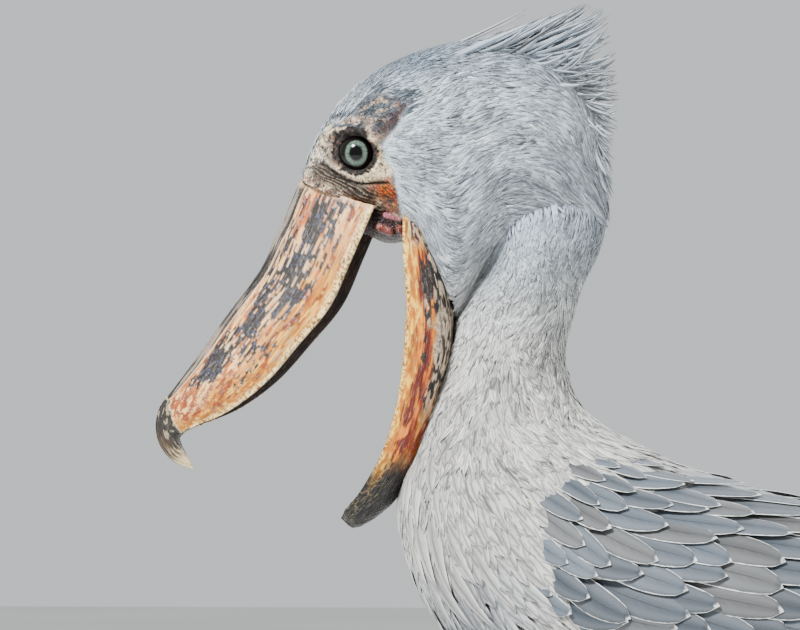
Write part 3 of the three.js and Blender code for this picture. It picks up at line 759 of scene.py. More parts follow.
class Graph:
    """A short way to write a material's nodes; a source is a wire, a number or a hex colour."""

    def __init__(self, name: str, roughness: float, **sockets: float) -> None:
        """Starts a Principled material.

        Args:
            name: Its name.
            roughness: Its roughness, unless a wire is linked to it later.
            sockets: Constants on the shader's own sockets, by name with _ for blanks.
        """
        self.material = bpy.data.materials.new(name)
        self.material.use_nodes = True
        self.tree = self.material.node_tree
        self.shader = self.tree.nodes["Principled BSDF"]
        self.shader.inputs["Roughness"].default_value = roughness
        for key, value in sockets.items():
            self.shader.inputs[key.replace("_", " ")].default_value = value

    def feed(self, source: Source, target: bpy.types.NodeSocket) -> None:
        """Links a wire to a socket, or sets a constant on it.

        Args:
            source: The wire, number or hex colour.
            target: The socket.
        """
        if isinstance(source, Wire):
            self.tree.links.new(source.socket, target)
        else:
            target.default_value = (*srgb(source).tolist(), 1.0) if isinstance(source, str) else source

    def step(
        self, kind: str, output: int | str, inputs: dict[int | str, Source], **settings: str
    ) -> Wire:
        """Adds one node.

        Args:
            kind: Its kind, without ShaderNode in front.
            output: Which of its outputs is wanted.
            inputs: The source of each input.
            settings: Its own attributes.

        Returns:
            The wanted output.
        """
        node = self.tree.nodes.new("ShaderNode" + kind)
        for key, value in settings.items():
            setattr(node, key, value)
        for key, source in inputs.items():
            self.feed(source, node.inputs[key])
        return Wire(self, node.outputs[output])

    def math(self, kind: str, first: Source, second: Source = 0.0) -> Wire:
        """One step of arithmetic."""
        return self.step("Math", 0, {0: first, 1: second}, operation=kind)

    def band(self, value: Source, low: float, high: float) -> Wire:
        """A smooth rise from 0 at low to 1 at high, or a fall where high is less than low.

        Args:
            value: What is looked at.
            low: Where the rise begins.
            high: Where it ends.

        Returns:
            A wire from 0 to 1.
        """
        ends = (0.0, 1.0) if high > low else (1.0, 0.0)
        inputs = dict(enumerate((value, min(low, high), max(low, high), *ends)))
        return self.step("MapRange", 0, inputs, interpolation_type="SMOOTHSTEP")

    def blend(self, share: Source, first: Source, second: Source) -> Wire:
        """A mix of two colours, first where share is 0."""
        return self.step("Mix", 2, {0: share, 6: first, 7: second}, data_type="RGBA")

    def tint(self) -> Wire:
        """The colour kept in the attribute Tint."""
        return self.step("Attribute", "Color", {}, attribute_name="Tint")

    def uv(self, name: str) -> tuple[Wire, Wire]:
        """The two numbers of a UV map."""
        both = {0: self.step("UVMap", 0, {}, uv_map=name)}
        return self.step("SeparateXYZ", 0, both), self.step("SeparateXYZ", 1, both)

    def place(self, scale: tuple[float, float, float], source: Wire | None = None) -> Wire:
        """Object coordinates, or a source vector, times a scale."""
        source = source or self.step("TexCoord", "Object", {})
        return self.step("Mapping", 0, {0: source, "Scale": scale})

    def vector(self, x: Source, y: Source, z: Source = 0.0) -> Wire:
        """A vector from three numbers."""
        return self.step("CombineXYZ", 0, {0: x, 1: y, 2: z})

    def moved(self, place: Wire, by: Wire) -> Wire:
        """The sum of two vectors."""
        return self.step("VectorMath", 0, {0: place, 1: by}, operation="ADD")

    def jitter(self, place: Wire, scale: float) -> Wire:
        """Noise with three independent numbers, used to warp a place."""
        return self.step("TexNoise", "Color", {"Vector": place, "Scale": scale})

    def noise(self, place: Wire, scale: float, detail: float = 4.0, rough: float = 0.55) -> Wire:
        """Cloudy noise from 0 to 1 at a place."""
        inputs = {"Vector": place, "Scale": scale, "Detail": detail, "Roughness": rough}
        return self.step("TexNoise", 0, inputs)

    def cells(self, place: Wire, scale: float) -> Wire:
        """The distance from the nearest line between the cells of a Voronoi pattern."""
        inputs = {"Vector": place, "Scale": scale}
        return self.step("TexVoronoi", "Distance", inputs, feature="DISTANCE_TO_EDGE")

    def finish(
        self, colour: Source, height: Wire | None = None, strength: float = 0.4, reach: float = 0.001,
        roughness: Wire | None = None,
    ) -> Material:
        """Links what the shader is fed.

        Args:
            colour: Its base colour.
            height: The height of its bump, if it has one.
            strength: The bump's strength.
            reach: The bump's distance in metres.
            roughness: Its roughness, if that isn't the constant.

        Returns:
            The material.
        """
        self.feed(colour, self.shader.inputs["Base Color"])
        if roughness is not None:
            self.feed(roughness, self.shader.inputs["Roughness"])
        if height is not None:
            bump = self.step("Bump", 0, {"Strength": strength, "Distance": reach, "Height": height})
            self.feed(bump, self.shader.inputs["Normal"])
        return self.material


@dataclass(frozen=True)
class PlumageFinish:
    """Soft small feathers: the Tint with a dark shaft, paler edges and fine barbs."""

    name: str
    shaft: float = 0.5
    fringe: float = 0.25

    def material(self) -> Material:
        """Builds the material.

        The shaft darkens within a twentieth of the width of the middle line, fading at the
        root; barbs are noise stretched along lines that slant from the shaft to the edge.

        Returns:
            The material.
        """
        g = Graph(self.name, 0.82, Specular_IOR_Level=0.22, Sheen_Weight=0.2, Sheen_Roughness=0.5)
        across, down = g.uv("Vane")
        off = abs(across - 0.5)
        shaft = g.band(off, 0.16, 0.03) * g.band(down, 0.1, 0.55)
        slant = down * 9.0 - off * 9.0
        barbs = g.noise(g.moved(g.vector(slant, across), g.place((40, 40, 40))), 2.4, 3.0)
        edge = g.band(off + down * 0.18, 0.34, 0.6)
        base = g.tint()
        base = g.blend(g.band(barbs, 0.35, 0.7) * 0.6, g.blend(0.5, base, "23262b"), base)
        base = g.blend(edge * self.fringe, base, "e9e7e2")
        base = g.blend(shaft * self.shaft, base, "1d1f24")
        return g.finish(base, barbs, 0.35, 0.0006)


@dataclass(frozen=True)
class VaneFinish:
    """Large wing and tail feathers: slate blue with a dark shaft and a narrow pale edge."""

    name: str = "wing_vane"
    fringe: float = 0.85

    def material(self) -> Material:
        """Builds the material.

        The edge is the greater of the distance across and the distance along, both 1 at the
        rim; barbs are fine stripes at a slant on either side of the shaft.

        Returns:
            The material.
        """
        g = Graph(self.name, 0.62, Specular_IOR_Level=0.35, Sheen_Weight=0.1)
        across, down = g.uv("Vane")
        off = abs((across - 0.5) * 2.0)
        ragged = g.noise(g.place((220, 220, 220)), 1.0, 3.0)
        wander = (ragged - 0.5) * 0.16
        reach = g.math("MAXIMUM", off, down**1.6) + wander
        slant = down * 60.0 - off * 14.0
        stripes = g.math("SINE", slant * 4.0)
        fine = g.noise(g.vector(slant * 1.6, across * 2.0), 1.3, 3.0)
        base = g.tint()
        base = g.blend(g.band(fine, 0.3, 0.75), g.blend(0.45, base, "1b2128"), base)
        base = g.blend(g.band(off, 0.1, 0.6) * 0.25, base, g.blend(0.4, base, "9a9fa3"))
        base = g.blend(g.band(reach, 0.93, 0.985) * self.fringe, base, "eef0ee")
        shaft = g.band(off, 0.07, 0.02) * g.band(down, 1.0, 0.7)
        base = g.blend(shaft * 0.7, base, "15181c")
        height = stripes * 0.3 + fine * 0.8
        return g.finish(base, height, 0.3, 0.0006)


@dataclass(frozen=True)
class HornFinish:
    """The bill's worn horn: the Tint with fine streaks along it; u runs along, v round."""

    name: str

    def material(self) -> Material:
        """Builds the material.

        Streaks are noise stretched forty times along the bill, once dark and once pale;
        specks and short cracks are finer noise. Roughness follows the specks.

        Returns:
            The material.
        """
        g = Graph(self.name, 0.42, Specular_IOR_Level=0.3)
        along, around = g.uv("Horn")
        place = g.place((1, 1, 1))
        streak = g.vector(along * 9.0, around * 70.0)
        grain = g.noise(streak, 1.0, 6.0, 0.62)
        hair = g.noise(g.vector(along * 26.0, around * 150.0, 4.0), 1.0, 4.0)
        speck = g.noise(place, 520.0, 5.0, 0.65)
        base = g.tint()
        base = g.blend(g.band(grain, 0.5, 0.66) * 0.45, base, "160f10")
        base = g.blend(g.band(hair, 0.56, 0.66) * 0.13, base, "f1e2cd")
        base = g.blend(g.band(speck, 0.58, 0.68) * 0.45, base, "120e0d")
        height = grain * 0.8 + speck * 0.6
        rough = speck * 0.35 + 0.3
        return g.finish(base, height, 0.6, 0.0012, rough)


@dataclass(frozen=True)
class SkinFinish:
    """Bare or lightly covered skin: the Tint, mottled and finely wrinkled."""

    name: str
    mottle: str
    roughness: float = 0.62
    wrinkle: float = 0.6

    def material(self) -> Material:
        """Builds the material: mottling from cloudy noise, wrinkles from small cells, painted
        dark in their creases as painted shade.

        Returns:
            The material.
        """
        g = Graph(self.name, self.roughness, Specular_IOR_Level=0.2)
        place = g.place((1, 1, 1))
        cloud = g.noise(place, 160.0, 6.0, 0.65)
        fine = g.noise(place, 900.0, 3.0)
        warp = g.moved(place, g.place((0.004, 0.004, 0.004), g.jitter(place, 120.0)))
        creases = g.cells(warp, 520.0)
        base = g.blend(g.band(cloud, 0.42, 0.62) * 0.15, g.tint(), self.mottle)
        # Painted shade in the creases of the wrinkles, besides their bump.
        base = g.blend(g.band(creases, 0.12, 0.0) * 0.5, base, "120d0c")
        height = g.band(creases, 0.0, 0.25) * 0.7 + fine * 0.4
        return g.finish(base, height, self.wrinkle, 0.0012)


@dataclass(frozen=True)
class ScaleFinish:
    """Scaled legs: dark grey plates parted by pale dusty lines."""

    name: str = "leg_scales"
    size: float = 210.0

    def material(self) -> Material:
        """Builds the material: Voronoi plates, flattened sideways, with dust between.

        Returns:
            The material.
        """
        g = Graph(self.name, 0.58, Specular_IOR_Level=0.4)
        place = g.place((1, 1, 0.72))
        plates = g.cells(place, self.size)
        dust = g.noise(g.place((1, 1, 1)), 60.0, 5.0)
        fine = g.noise(g.place((1, 1, 1)), 1500.0, 2.0)
        base = g.blend(g.band(dust, 0.35, 0.7), "2d2f33", "4d5055")
        base = g.blend(g.band(plates, 0.09, 0.0) * 0.65, base, "8b8781")
        height = g.band(plates, 0.0, 0.22) + fine * 0.2
        return g.finish(base, height, 0.7, 0.0015)


@dataclass(frozen=True)
class ClawFinish:
    """Dark worn horn of the claws, paler and scratched towards the point."""

    name: str = "claw_horn"

    def material(self) -> Material:
        """Builds the material: u runs along the claw, noise makes it streaky.

        Returns:
            The material.
        """
        g = Graph(self.name, 0.38, Specular_IOR_Level=0.5)
        along, around = g.uv("Horn")
        grain = g.noise(g.vector(along * 2.0, around * 20.0), 2.0, 4.0)
        base = g.blend(g.band(grain, 0.4, 0.7), "1d1a17", "4a423a")
        base = g.blend(g.band(along, 0.75, 1.0) * 0.5, base, "7d7263")
        return g.finish(base, grain, 0.3, 0.0006)


@dataclass(frozen=True)
class EyeFinish:
    """The eyeball by distance from its axis: pupil, ringed iris and dark rim, all wet."""

    name: str = "eyeball"
    pupil: float = 0.215
    iris: float = 0.43

    def material(self) -> Material:
        """Builds the material: u is the angle off the axis over a quarter turn, v the turn.

        Returns:
            The material.
        """
        g = Graph(self.name, 0.1, Specular_IOR_Level=0.16, Coat_Weight=0.12, Coat_Roughness=0.02)
        off, turn = g.uv("Iris")
        fibres = g.noise(g.vector(off * 3.0, turn * 70.0), 1.0, 3.0)
        base = g.blend(g.band(fibres, 0.35, 0.65), "28312c", "5a6c61")
        base = g.blend(g.band(off, 0.3, 0.22) * 0.8, base, "0c1411")
        base = g.blend(g.band(off, 0.36, self.iris) * 0.85, base, "121b18")
        base = g.blend(g.band(off, self.pupil - 0.015, self.pupil + 0.015), "020303", base)
        base = g.blend(g.band(off, self.iris - 0.04, self.iris + 0.02), base, "0a0606")
        return g.finish(base)


@dataclass(frozen=True)
class FloorFinish:
    """A plain pale studio floor."""

    name: str = "floor"

    def material(self) -> Material:
        """Builds the material with a faint cloudiness.

        Returns:
            The material.
        """
        g = Graph(self.name, 0.9)
        cloud = g.noise(g.place((1, 1, 1)), 1.5, 2.0)
        return g.finish(g.blend(g.band(cloud, 0.3, 0.7), "dcdcda", "e2e2e0"))


class LimbForm(RibForm):
    """A feathered limb: round level sections round a line of stations.

    The point at share s and angle is centre + (radius + lift) * (cos(angle), -sin(angle)).
    """

    def __init__(self, stations: Sequence[tuple[float, float, float, float]]) -> None:
        """Keeps the stations' x, y, z and radius as knots."""
        self.knots = np.array(stations, float)

    def point(self, s: Array, angle: Array, lift: Array | float = 0.0) -> Array:
        """The surface raised by lift.

        Args:
            s: Shares along.
            angle: Angles round.
            lift: Millimetres off the form.

        Returns:
            Points in the bird's frame.
        """
        s, angle, lift = np.broadcast_arrays(s, angle, lift)
        row = through(self.knots, s)
        radius = row[..., 3] + lift
        return row[..., :3] + np.stack(
            [radius * np.cos(angle), -radius * np.sin(angle), np.zeros_like(radius)], -1
        )


HEAD = RibForm([
    Rib((-280, 867), (-227, 846), 44),
    Rib((-271, 891), (-217, 841), 47, 0.05),
    Rib((-250, 924), (-206, 829), 50, 0.12),
    Rib((-212, 951), (-190, 803), 57, 0.3),
    Rib((-155, 965), (-173, 766), 61, 0.42),
    Rib((-105, 953), (-147, 808), 59, 0.25),
    Rib((-75, 918), (-127, 827), 50, 0.1),
    Rib((-68, 878), (-99, 832), 32),
])
TRUNK = RibForm([
    Rib((-88, 896), (-146, 862), 34),
    Rib((-67, 838), (-146, 812), 42),
    Rib((-86, 786), (-168, 769), 39),
    Rib((-97, 740), (-183, 726), 41),
    Rib((-84, 704), (-198, 682), 50),
    Rib((-50, 681), (-207, 630), 69),
    Rib((0, 660), (-178, 554), 90, 0.04),
    Rib((70, 638), (-92, 475), 104, 0.06),
    Rib((150, 610), (36, 442), 103, 0.08),
    Rib((230, 574), (172, 454), 76, 0.1),
    Rib((296, 539), (284, 512), 24),
])
MANTLE = RibForm([
    Rib((-104, 696), (-166, 606), 65),
    Rib((-24, 666), (-92, 506), 104),
    Rib((72, 645), (22, 464), 118),
    Rib((170, 616), (140, 456), 116),
    Rib((275, 578), (262, 462), 91),
    Rib((385, 542), (382, 489), 61),
    Rib((480, 513), (481, 493), 43),
])
RUMP = RibForm([
    Rib((258, 553), (258, 524), 30),
    Rib((300, 533), (299, 509), 33),
    Rib((345, 514), (344, 502), 26),
])
GAPE = RibForm([
    Rib((-234, 856), (-235, 829), 37),
    Rib((-219, 852), (-219, 822), 38),
    Rib((-203, 846), (-201, 824), 37),
])
NECK_ENDS = 0.3656
LEG_Y = 62.0
FOOT_Y = 66.0
LEAN = {Side.LEFT: -14.0, Side.RIGHT: 14.0}
THIGH = ((-22, 508, 44), (-10, 462, 41), (6, 415, 31), (17, 376, 19), (23, 352, 12.5))
SHIN = ((21, 360, 8.6), (33, 305, 7.6), (40, 280, 8.8), (42, 261, 8.4))
TARSUS = ((41, 270, 10.6), (42, 256, 13), (39, 234, 9.2), (18, 135, 7.6), (3, 50, 8.2), (-4, 11, 11.5))


def leg_y(z: float) -> float:
    """How far a feathered leg stands from the middle at a height: 54 at 508 to 62 at 258."""
    return LEG_Y - (z - 258.0) * 8.0 / 250.0


def thigh_form(side: Side) -> LimbForm:
    """The feathered thigh of one side as a limb."""
    return LimbForm([(x + LEAN[side], side.value * leg_y(z), z, r) for x, z, r in THIGH])


class Markings:
    """Where the plumage is lighter, darker, warmer or bluer, for skin and coat alike."""

    PALE = srgb("c3d0d9")
    WARM = srgb("d3cdc3")
    BLUE = srgb("72879a")
    SLATE = srgb("66727e")
    BACK = srgb("8b8f94")

    def plumage(self, points: Array) -> Array:
        """Linear colours at points in the bird's frame.

        The forehead is bluish, the cheeks pale, the neck warmer and paler towards the
        breast, the back slate, and the belly pale again; the front of the lower neck is
        darkened as painted shade.

        Args:
            points: Points in any shape.

        Returns:
            One colour for each point.
        """
        x, z = points[..., 0], points[..., 2]
        back = ramp(-70, 10, x) * ramp(560, 640, z)
        crown = ramp(915, 955, z) * ramp(-120, -215, x)
        crown = np.maximum(crown, ramp(925, 962, z) * 0.6)
        neck = ramp(850, 740, z)
        breast = ramp(650, 560, z)
        colour = np.broadcast_to(self.PALE, points.shape)
        colour = paint(colour, self.WARM, neck * 0.75)
        colour = paint(colour, self.BLUE, crown)
        # Painted shade: the front of the lower neck darkened to 0.72.
        colour = colour * mix(1.0, 0.72, ramp(730, 640, z) * ramp(-60, -130, x))[..., None]
        colour = paint(colour, self.SLATE, breast * ramp(-80, -160, x) * 0.7)
        colour = paint(colour, self.BACK, back)
        return colour * (0.65 + 0.7 * LUMPS.at(points, 26.0, 3))[..., None]


MARKINGS = Markings()


class Cloud:
    """Smooth random lumps in space, the same each run.

    A lattice of random numbers is blended between its eight nearest points with
    3t^2 - 2t^3; each octave is twice as fine and half as strong as the one before.
    """

    SIDE = 32

    def __init__(self, seed: int) -> None:
        """Draws the lattice."""
        self.lattice = np.random.default_rng(seed).random((self.SIDE,) * 3)

    def once(self, places: Array) -> Array:
        """One octave, from 0 to 1, at places in units of a lump.

        Args:
            places: Points in any shape.

        Returns:
            One number for each place.
        """
        cell = np.floor(places).astype(int)
        t = places - cell
        t = t * t * (3 - 2 * t)
        total = np.zeros(places.shape[:-1])
        for corner in range(8):
            step = np.array([corner & 1, corner >> 1 & 1, corner >> 2])
            at = (cell + step) % self.SIDE
            share = np.prod(np.where(step, t, 1 - t), axis=-1)
            total += share * self.lattice[at[..., 0], at[..., 1], at[..., 2]]
        return total

    def at(self, places: Array, size: float | Sequence[float], octaves: int = 3) -> Array:
        """The sum of octaves, from 0 to 1, of lumps of a size in the places' own units.

        Args:
            places: Points in any shape.
            size: The lumps' size, one number or one for each axis.
            octaves: How many are summed.

        Returns:
            One number for each place.
        """
        scaled = places / np.array(size)
        strength = 0.5 ** np.arange(octaves)
        rows = [self.once(scaled * 2**k + 7.3 * k) * strength[k] for k in range(octaves)]
        return np.sum(rows, axis=0) / strength.sum()


LUMPS = Cloud(5)


def distance_to(points: Array, line: Sequence[tuple[float, float]]) -> Array:
    """The distance from points of a plane to a broken line through marks.

    Args:
        points: Places on the plane.
        line: The marks.

    Returns:
        One distance for each point.
    """
    marks = np.array(line, float)
    best = np.full(points.shape[:-1], np.inf)
    for start, end in zip(marks[:-1], marks[1:]):
        run = end - start
        share = np.clip(((points - start) @ run) / (run @ run), 0.0, 1.0)
        best = np.minimum(best, np.linalg.norm(points - start - share[..., None] * run, axis=-1))
    return best


class Face:
    """The bare skin round the eye: its folds, its lids and its colours.

    Places are given as seen from the side, in millimetres from the eye's middle: back of it
    and up from it.
    """

    BROW = ((-23, 6), (-19, 11), (-13, 14), (-6, 15.6), (2, 15.2), (9, 12.5), (15, 8.5), (19, 5))
    LOWER_LID = ((-22, -4), (-17, -9), (-10, -13.5), (-2, -16.5), (6, -16), (12, -12), (16, -6))
    CREASE = ((-27, -7), (-22, -9), (-15, -15), (-7, -19.5), (2, -22), (12, -21.5), (22, -21))
    FOLD = ((-28, -13), (-21, -18), (-12, -23), (-3, -27), (6, -30))
    MARGIN = ((37, 44), (36, 32), (31, 22), (24, 13), (19, 6), (21, -6), (26, -12), (28, -22), (30, -36))
    ORANGE = ((18, -26), (24, -26), (28, -31))
    ISLES = ((-8, 24), (10, 27), (26, 34))
    PURPLE = ((20, 17), (31, 27), (33, 33))
    CHEEK = ((2, -19), (12, -16), (21, -9), (21, -2))
    BAND = ((-26, -12), (-14, -19), (-2, -25), (8, -30))
    FURROWS = ((-26, -12), (-14, -19), (-2, -25), (8, -29))

    def seen(self, points: Array) -> Array:
        """Places back of and above the eye, from points in the bird's frame."""
        return np.stack([points[..., 0] - EYE_AT[0], points[..., 2] - EYE_AT[2]], -1)

    def rim(self, seen: Array) -> Array:
        """How far out a place is, 1 being the edge of the lids.

        The opening is an ellipse with half axes of 12.4 and 12.8 mm, drawn out at the front.

        Args:
            seen: Places back of and above the eye.

        Returns:
            One number for each place.
        """
        back, up = seen[..., 0], seen[..., 1]
        pull = ramp(-4, -18, back) * 0.32
        return np.hypot(back / 12.4, up / (12.8 * (1 - pull * 0.6))) * (1 - pull * 0.35)

    def bare(self, points: Array) -> Array:
        """How bare the face is, from 0 feathered to 1 bare.

        Args:
            points: Points in the bird's frame.

        Returns:
            One share for each point.
        """
        seen = self.seen(points)
        back, up = seen[..., 0], seen[..., 1]
        ragged = (LUMPS.at(points, 7.0) - 0.5) * 9.0
        edge = self.behind(seen) + ragged * 0.35
        above = up - mix(24.0, 43.0, ramp(-14, 12, back)) + ragged
        beside = ramp(9, 22, np.abs(points[..., 1]) + ragged * 0.4)
        return ramp(1.5, -1.5, edge) * ramp(5, -6, above) * beside

    def behind(self, seen: Array) -> Array:
        """How far a place lies behind the margin of the feathers.

        Args:
            seen: Places back of and above the eye.

        Returns:
            Millimetres, below 0 in front of it.
        """
        marks = np.array(self.MARGIN, float)[::-1]
        back = np.interp(seen[..., 1], marks[:, 1], marks[:, 0])
        return seen[..., 0] - back

    def relief(self, points: Array) -> Array:
        """How far the bare skin stands off the head's form, in millimetres.

        Args:
            points: Points in the bird's frame.

        Returns:
            Millimetres, one number for each point.
        """
        seen = self.seen(points)
        rim = self.rim(seen)
        brow = hump(distance_to(seen, self.BROW), 3.4) * 5.4
        lower = hump(distance_to(seen, self.LOWER_LID), 1.7) * 1.9
        crease = hump(distance_to(seen, self.CREASE), 1.2) * -1.8
        fold = hump(distance_to(seen, self.FOLD), 3.0) * 2.0
        lip = hump(rim - 1.1, 0.1) * 1.3
        pit = ramp(1.02, 0.84, rim) * -7.0
        hollow = hump(rim - 1.28, 0.16) * -1.3
        rough = (LUMPS.at(points, 2.2) - 0.5) * 1.2 + (LUMPS.at(points, 6.0, 2) - 0.5) * 1.6
        rays = np.sin(np.arctan2(seen[..., 1], seen[..., 0]) * 34 + 5 * LUMPS.at(points, 9.0, 2))
        wrinkles = hump(rim - 1.4, 0.3) * rays * 0.35 + self.furrows(seen) * 0.5
        calm = ramp(0.95, 1.2, rim)
        return 0.4 + brow + lower + crease + fold + lip + pit + hollow + (rough + wrinkles) * calm

    def furrows(self, seen: Array) -> Array:
        """Fine furrows, from -1 to 1, that run along the dark band down to the gape.

        Args:
            seen: Places back of and above the eye.

        Returns:
            One number for each place.
        """
        band = hump(distance_to(seen, self.FURROWS), 5.0)
        back, up = seen[..., 0], seen[..., 1]
        sway = LUMPS.at(np.stack([back * 0.25, up, back * 0], -1), 4.0, 2)
        return band * np.sin(2.6 * (back * 0.5 + up) + 6 * sway)

    def colour(self, points: Array) -> Array:
        """The skin's colours, laid one over the other from the ground to the folds, with painted
        highlights on the lower lid and the brow and painted shade in the crease and round the eye.

        Args:
            points: Points in the bird's frame.

        Returns:
            Linear colours.
        """
        seen = self.seen(points)
        back, up = seen[..., 0], seen[..., 1]
        rim = self.rim(seen)
        cloud, fine = LUMPS.at(points, 6.5), LUMPS.at(points + 40.0, 1.8, 2)
        speck = LUMPS.at(points + 90.0, 1.1, 2)
        blot = LUMPS.at(points + 130.0, (8.0, 8.0, 4.5), 3)
        tone = paint("8f857d", "e6dccb", ramp(0.4, 0.58, cloud))
        tone = paint(tone, "b98f7c", ramp(0.5, 0.62, fine) * 0.6)
        above = ramp(8, 18, up)
        mottle = paint("3b444c", "79838b", ramp(0.35, 0.65, fine))
        pink = paint("93897f", "cfc4b9", ramp(0.35, 0.65, fine))
        isles = hump(distance_to(seen, self.ISLES), 7.0)
        islands = ramp(0.46, 0.62, blot + 0.06 * isles)
        tone = paint(tone, paint(mottle, pink, islands), above * 0.95)
        purple = hump(distance_to(seen, self.PURPLE), 5.5) * ramp(0.38, 0.5, fine)
        tone = paint(tone, "583a3c", purple * 0.9)
        pale = ramp(-14, -25, back) * ramp(-20, -10, up)
        ivory = paint("8f8c84", "efeade", ramp(0.4, 0.52, fine))
        tone = paint(tone, ivory, pale * 0.85)
        cheek = hump(distance_to(seen, self.CHEEK), 5.5)
        tone = paint(tone, "e4dac6", cheek * 0.85)
        band = hump(distance_to(seen, self.BAND), 5.6)
        stripe = paint("211a17", "9c8f80", ramp(-0.1, 0.9, self.furrows(seen)))
        tone = paint(tone, stripe, band)
        orange = hump(distance_to(seen, self.ORANGE), 5.5)
        amber = paint("a3501c", "e0aa55", ramp(0.48, 0.6, speck))
        amber = paint("351a10", amber, ramp(0.4, 0.48, fine))
        tone = paint(tone, amber, orange**0.6)
        # Painted highlight along the ridge of the lower lid.
        lit = hump(distance_to(seen, self.LOWER_LID), 1.2) * ramp(0.3, 0.5, fine)
        tone = paint(tone, "f2e8d6", lit * 0.85)
        # Painted highlight, in flecks, along the top of the brow ridge.
        crust = hump(distance_to(seen, self.BROW), 1.8) * ramp(0.42, 0.52, fine)
        tone = paint(tone, "e8dfc9", crust * 0.9)
        # Painted shade in the crease under the eye.
        tone = paint(tone, "120c0b", hump(distance_to(seen, self.CREASE), 0.9) * 0.9)
        dots = ramp(0.58, 0.66, speck) * ramp(1.3, 1.5, rim)
        tone = paint(tone, "1d1716", dots * 0.85)
        # The dark lids round the eye, with painted shade under the brow, where the dark is drawn out
        # upwards, and in the front corner.
        socket = ramp(1.3, 1.14, rim + (fine - 0.5) * 0.4 - 0.16 * ramp(2, 12, up - back * 0.6))
        corner = hump(np.hypot(back + 15, (up + 3) * 1.1), 5.5)
        shade = np.maximum(socket, corner)
        dusk = paint("060404", "5d5148", ramp(0.52, 0.68, fine))
        return deepened(paint(tone, dusk, shade))


FACE = Face()


@dataclass(frozen=True)
class FaceSkin:
    """The bare faces as fine surfaces over the skin, sunk into it at their edges."""

    rows: int = 190
    columns: int = 220

    def build(self, material: Material) -> None:
        """Makes one surface over both sides and the forehead, from the bill's base back.

        Its place is the head's form raised by the face's relief, mirrored; at its edges it
        falls to 3 mm under the form.

        Args:
            material: Its finish.
        """
        s, angle = np.meshgrid(
            np.linspace(0.002, 0.56, self.rows),
            np.radians(np.linspace(-152, 152, 2 * self.columns)),
            indexing="ij",
        )
        base = HEAD.point(s, angle)
        lift = FACE.relief(base)
        side = ramp(np.radians(10), np.radians(30), np.abs(angle))
        lift = mix(-0.6 + (LUMPS.at(base, 3.0) - 0.5), lift, side)
        edge = ramp(0.56, 0.5, s) * ramp(np.radians(152), np.radians(138), np.abs(angle))
        covered = FACE.bare(base)
        lift = mix(-3.2, mix(-1.0, lift, np.maximum(covered, 0.35)), edge)
        _, _, out, *_ = HEAD.axes(s, angle)
        points = base + out * lift[..., None]
        # Where feathered, the skin is the plumage darkened to 0.8: painted shade under the bristles.
        colour = paint(MARKINGS.plumage(base) * 0.8, FACE.colour(base), covered)
        faces = sheet_faces(self.rows, 2 * self.columns)
        flat = points.reshape(-1, 3)
        p, q, r = (flat[faces[0][k]] for k in range(3))
        if np.dot(np.cross(q - p, r - p), out[0, 0]) < 0:
            faces = faces[:, ::-1]
        bake = np.stack([0.02 + 1.7 * s, 0.5 + angle / 5.6], -1)
        piece = new_mesh(
            "face_skin", flat, faces, material=material, tint=colour.reshape(-1, 3),
            maps={"OFBake": bake.reshape(-1, 2)},
        )
        settle(piece, "plumage", "head")


@dataclass(frozen=True)
class Skin:
    """One skin from the bill's base to the tail and down the thighs, under the coat."""

    voxel: float = 3.2
    inset: float = 2.2
    # shade: the plumage's colours darkened as painted shade, for the skin seen between feathers
    shade: float = 0.7
    socket: float = 11.0

    def build(self, material: Material) -> None:
        """Joins the sunk forms, remeshes them as one and colours them by the markings, darkened by
        shade as painted shade in the gaps of the coat.

        Args:
            material: Its finish.
        """
        shells = [HEAD.grid(60, 64, -self.inset), TRUNK.grid(110, 72, -self.inset)]
        for side in Side:
            shells.append(thigh_form(side).grid(30, 32, -self.inset))
        points, faces = join_shells(shells)
        raw = new_mesh("skin_raw", points, faces, material=material)
        remesh = raw.modifiers.new("remesh", "REMESH")
        remesh.mode = "VOXEL"
        remesh.voxel_size = self.voxel / MM
        remesh.use_smooth_shade = True
        depsgraph = bpy.context.evaluated_depsgraph_get()
        mesh = bpy.data.meshes.new_from_object(raw.evaluated_get(depsgraph))
        bpy.data.objects.remove(raw)
        mesh.name = "skin"
        if not mesh.materials:
            mesh.materials.append(material)
        co = np.empty(len(mesh.vertices) * 3, np.float32)
        mesh.vertices.foreach_get("co", co)
        places = co.reshape(-1, 3).astype(float) * MM - SHIFT
        # Painted shade: the skin is darker than the coat so that the gaps between feathers look shaded.
        set_tint(mesh, MARKINGS.plumage(places) * self.shade)
        gap = np.linalg.norm(np.abs(places) * [-1, 1, 1] - EYE_AT, axis=1)
        places[:, 1] -= np.sign(places[:, 1]) * self.socket * ramp(24.0, 13.0, gap)
        places += LOWER_BILL.sunk(places, 1.5)[1]
        set_places(mesh, places)
        settle(linked("skin", mesh), "plumage", "head", "neck", "torso", "thigh_left", "thigh_right")


def join_shells(shells: Sequence[tuple[Array, Array]]) -> tuple[Array, Array]:
    """Several meshes of vertices and faces as one, the faces renumbered.

    Args:
        shells: The meshes.

    Returns:
        Vertices and faces.
    """
    starts = np.cumsum([0] + [len(points) for points, _ in shells])
    return (
        np.vstack([points for points, _ in shells]),
        np.vstack([faces + start for (_, faces), start in zip(shells, starts)]),
    )


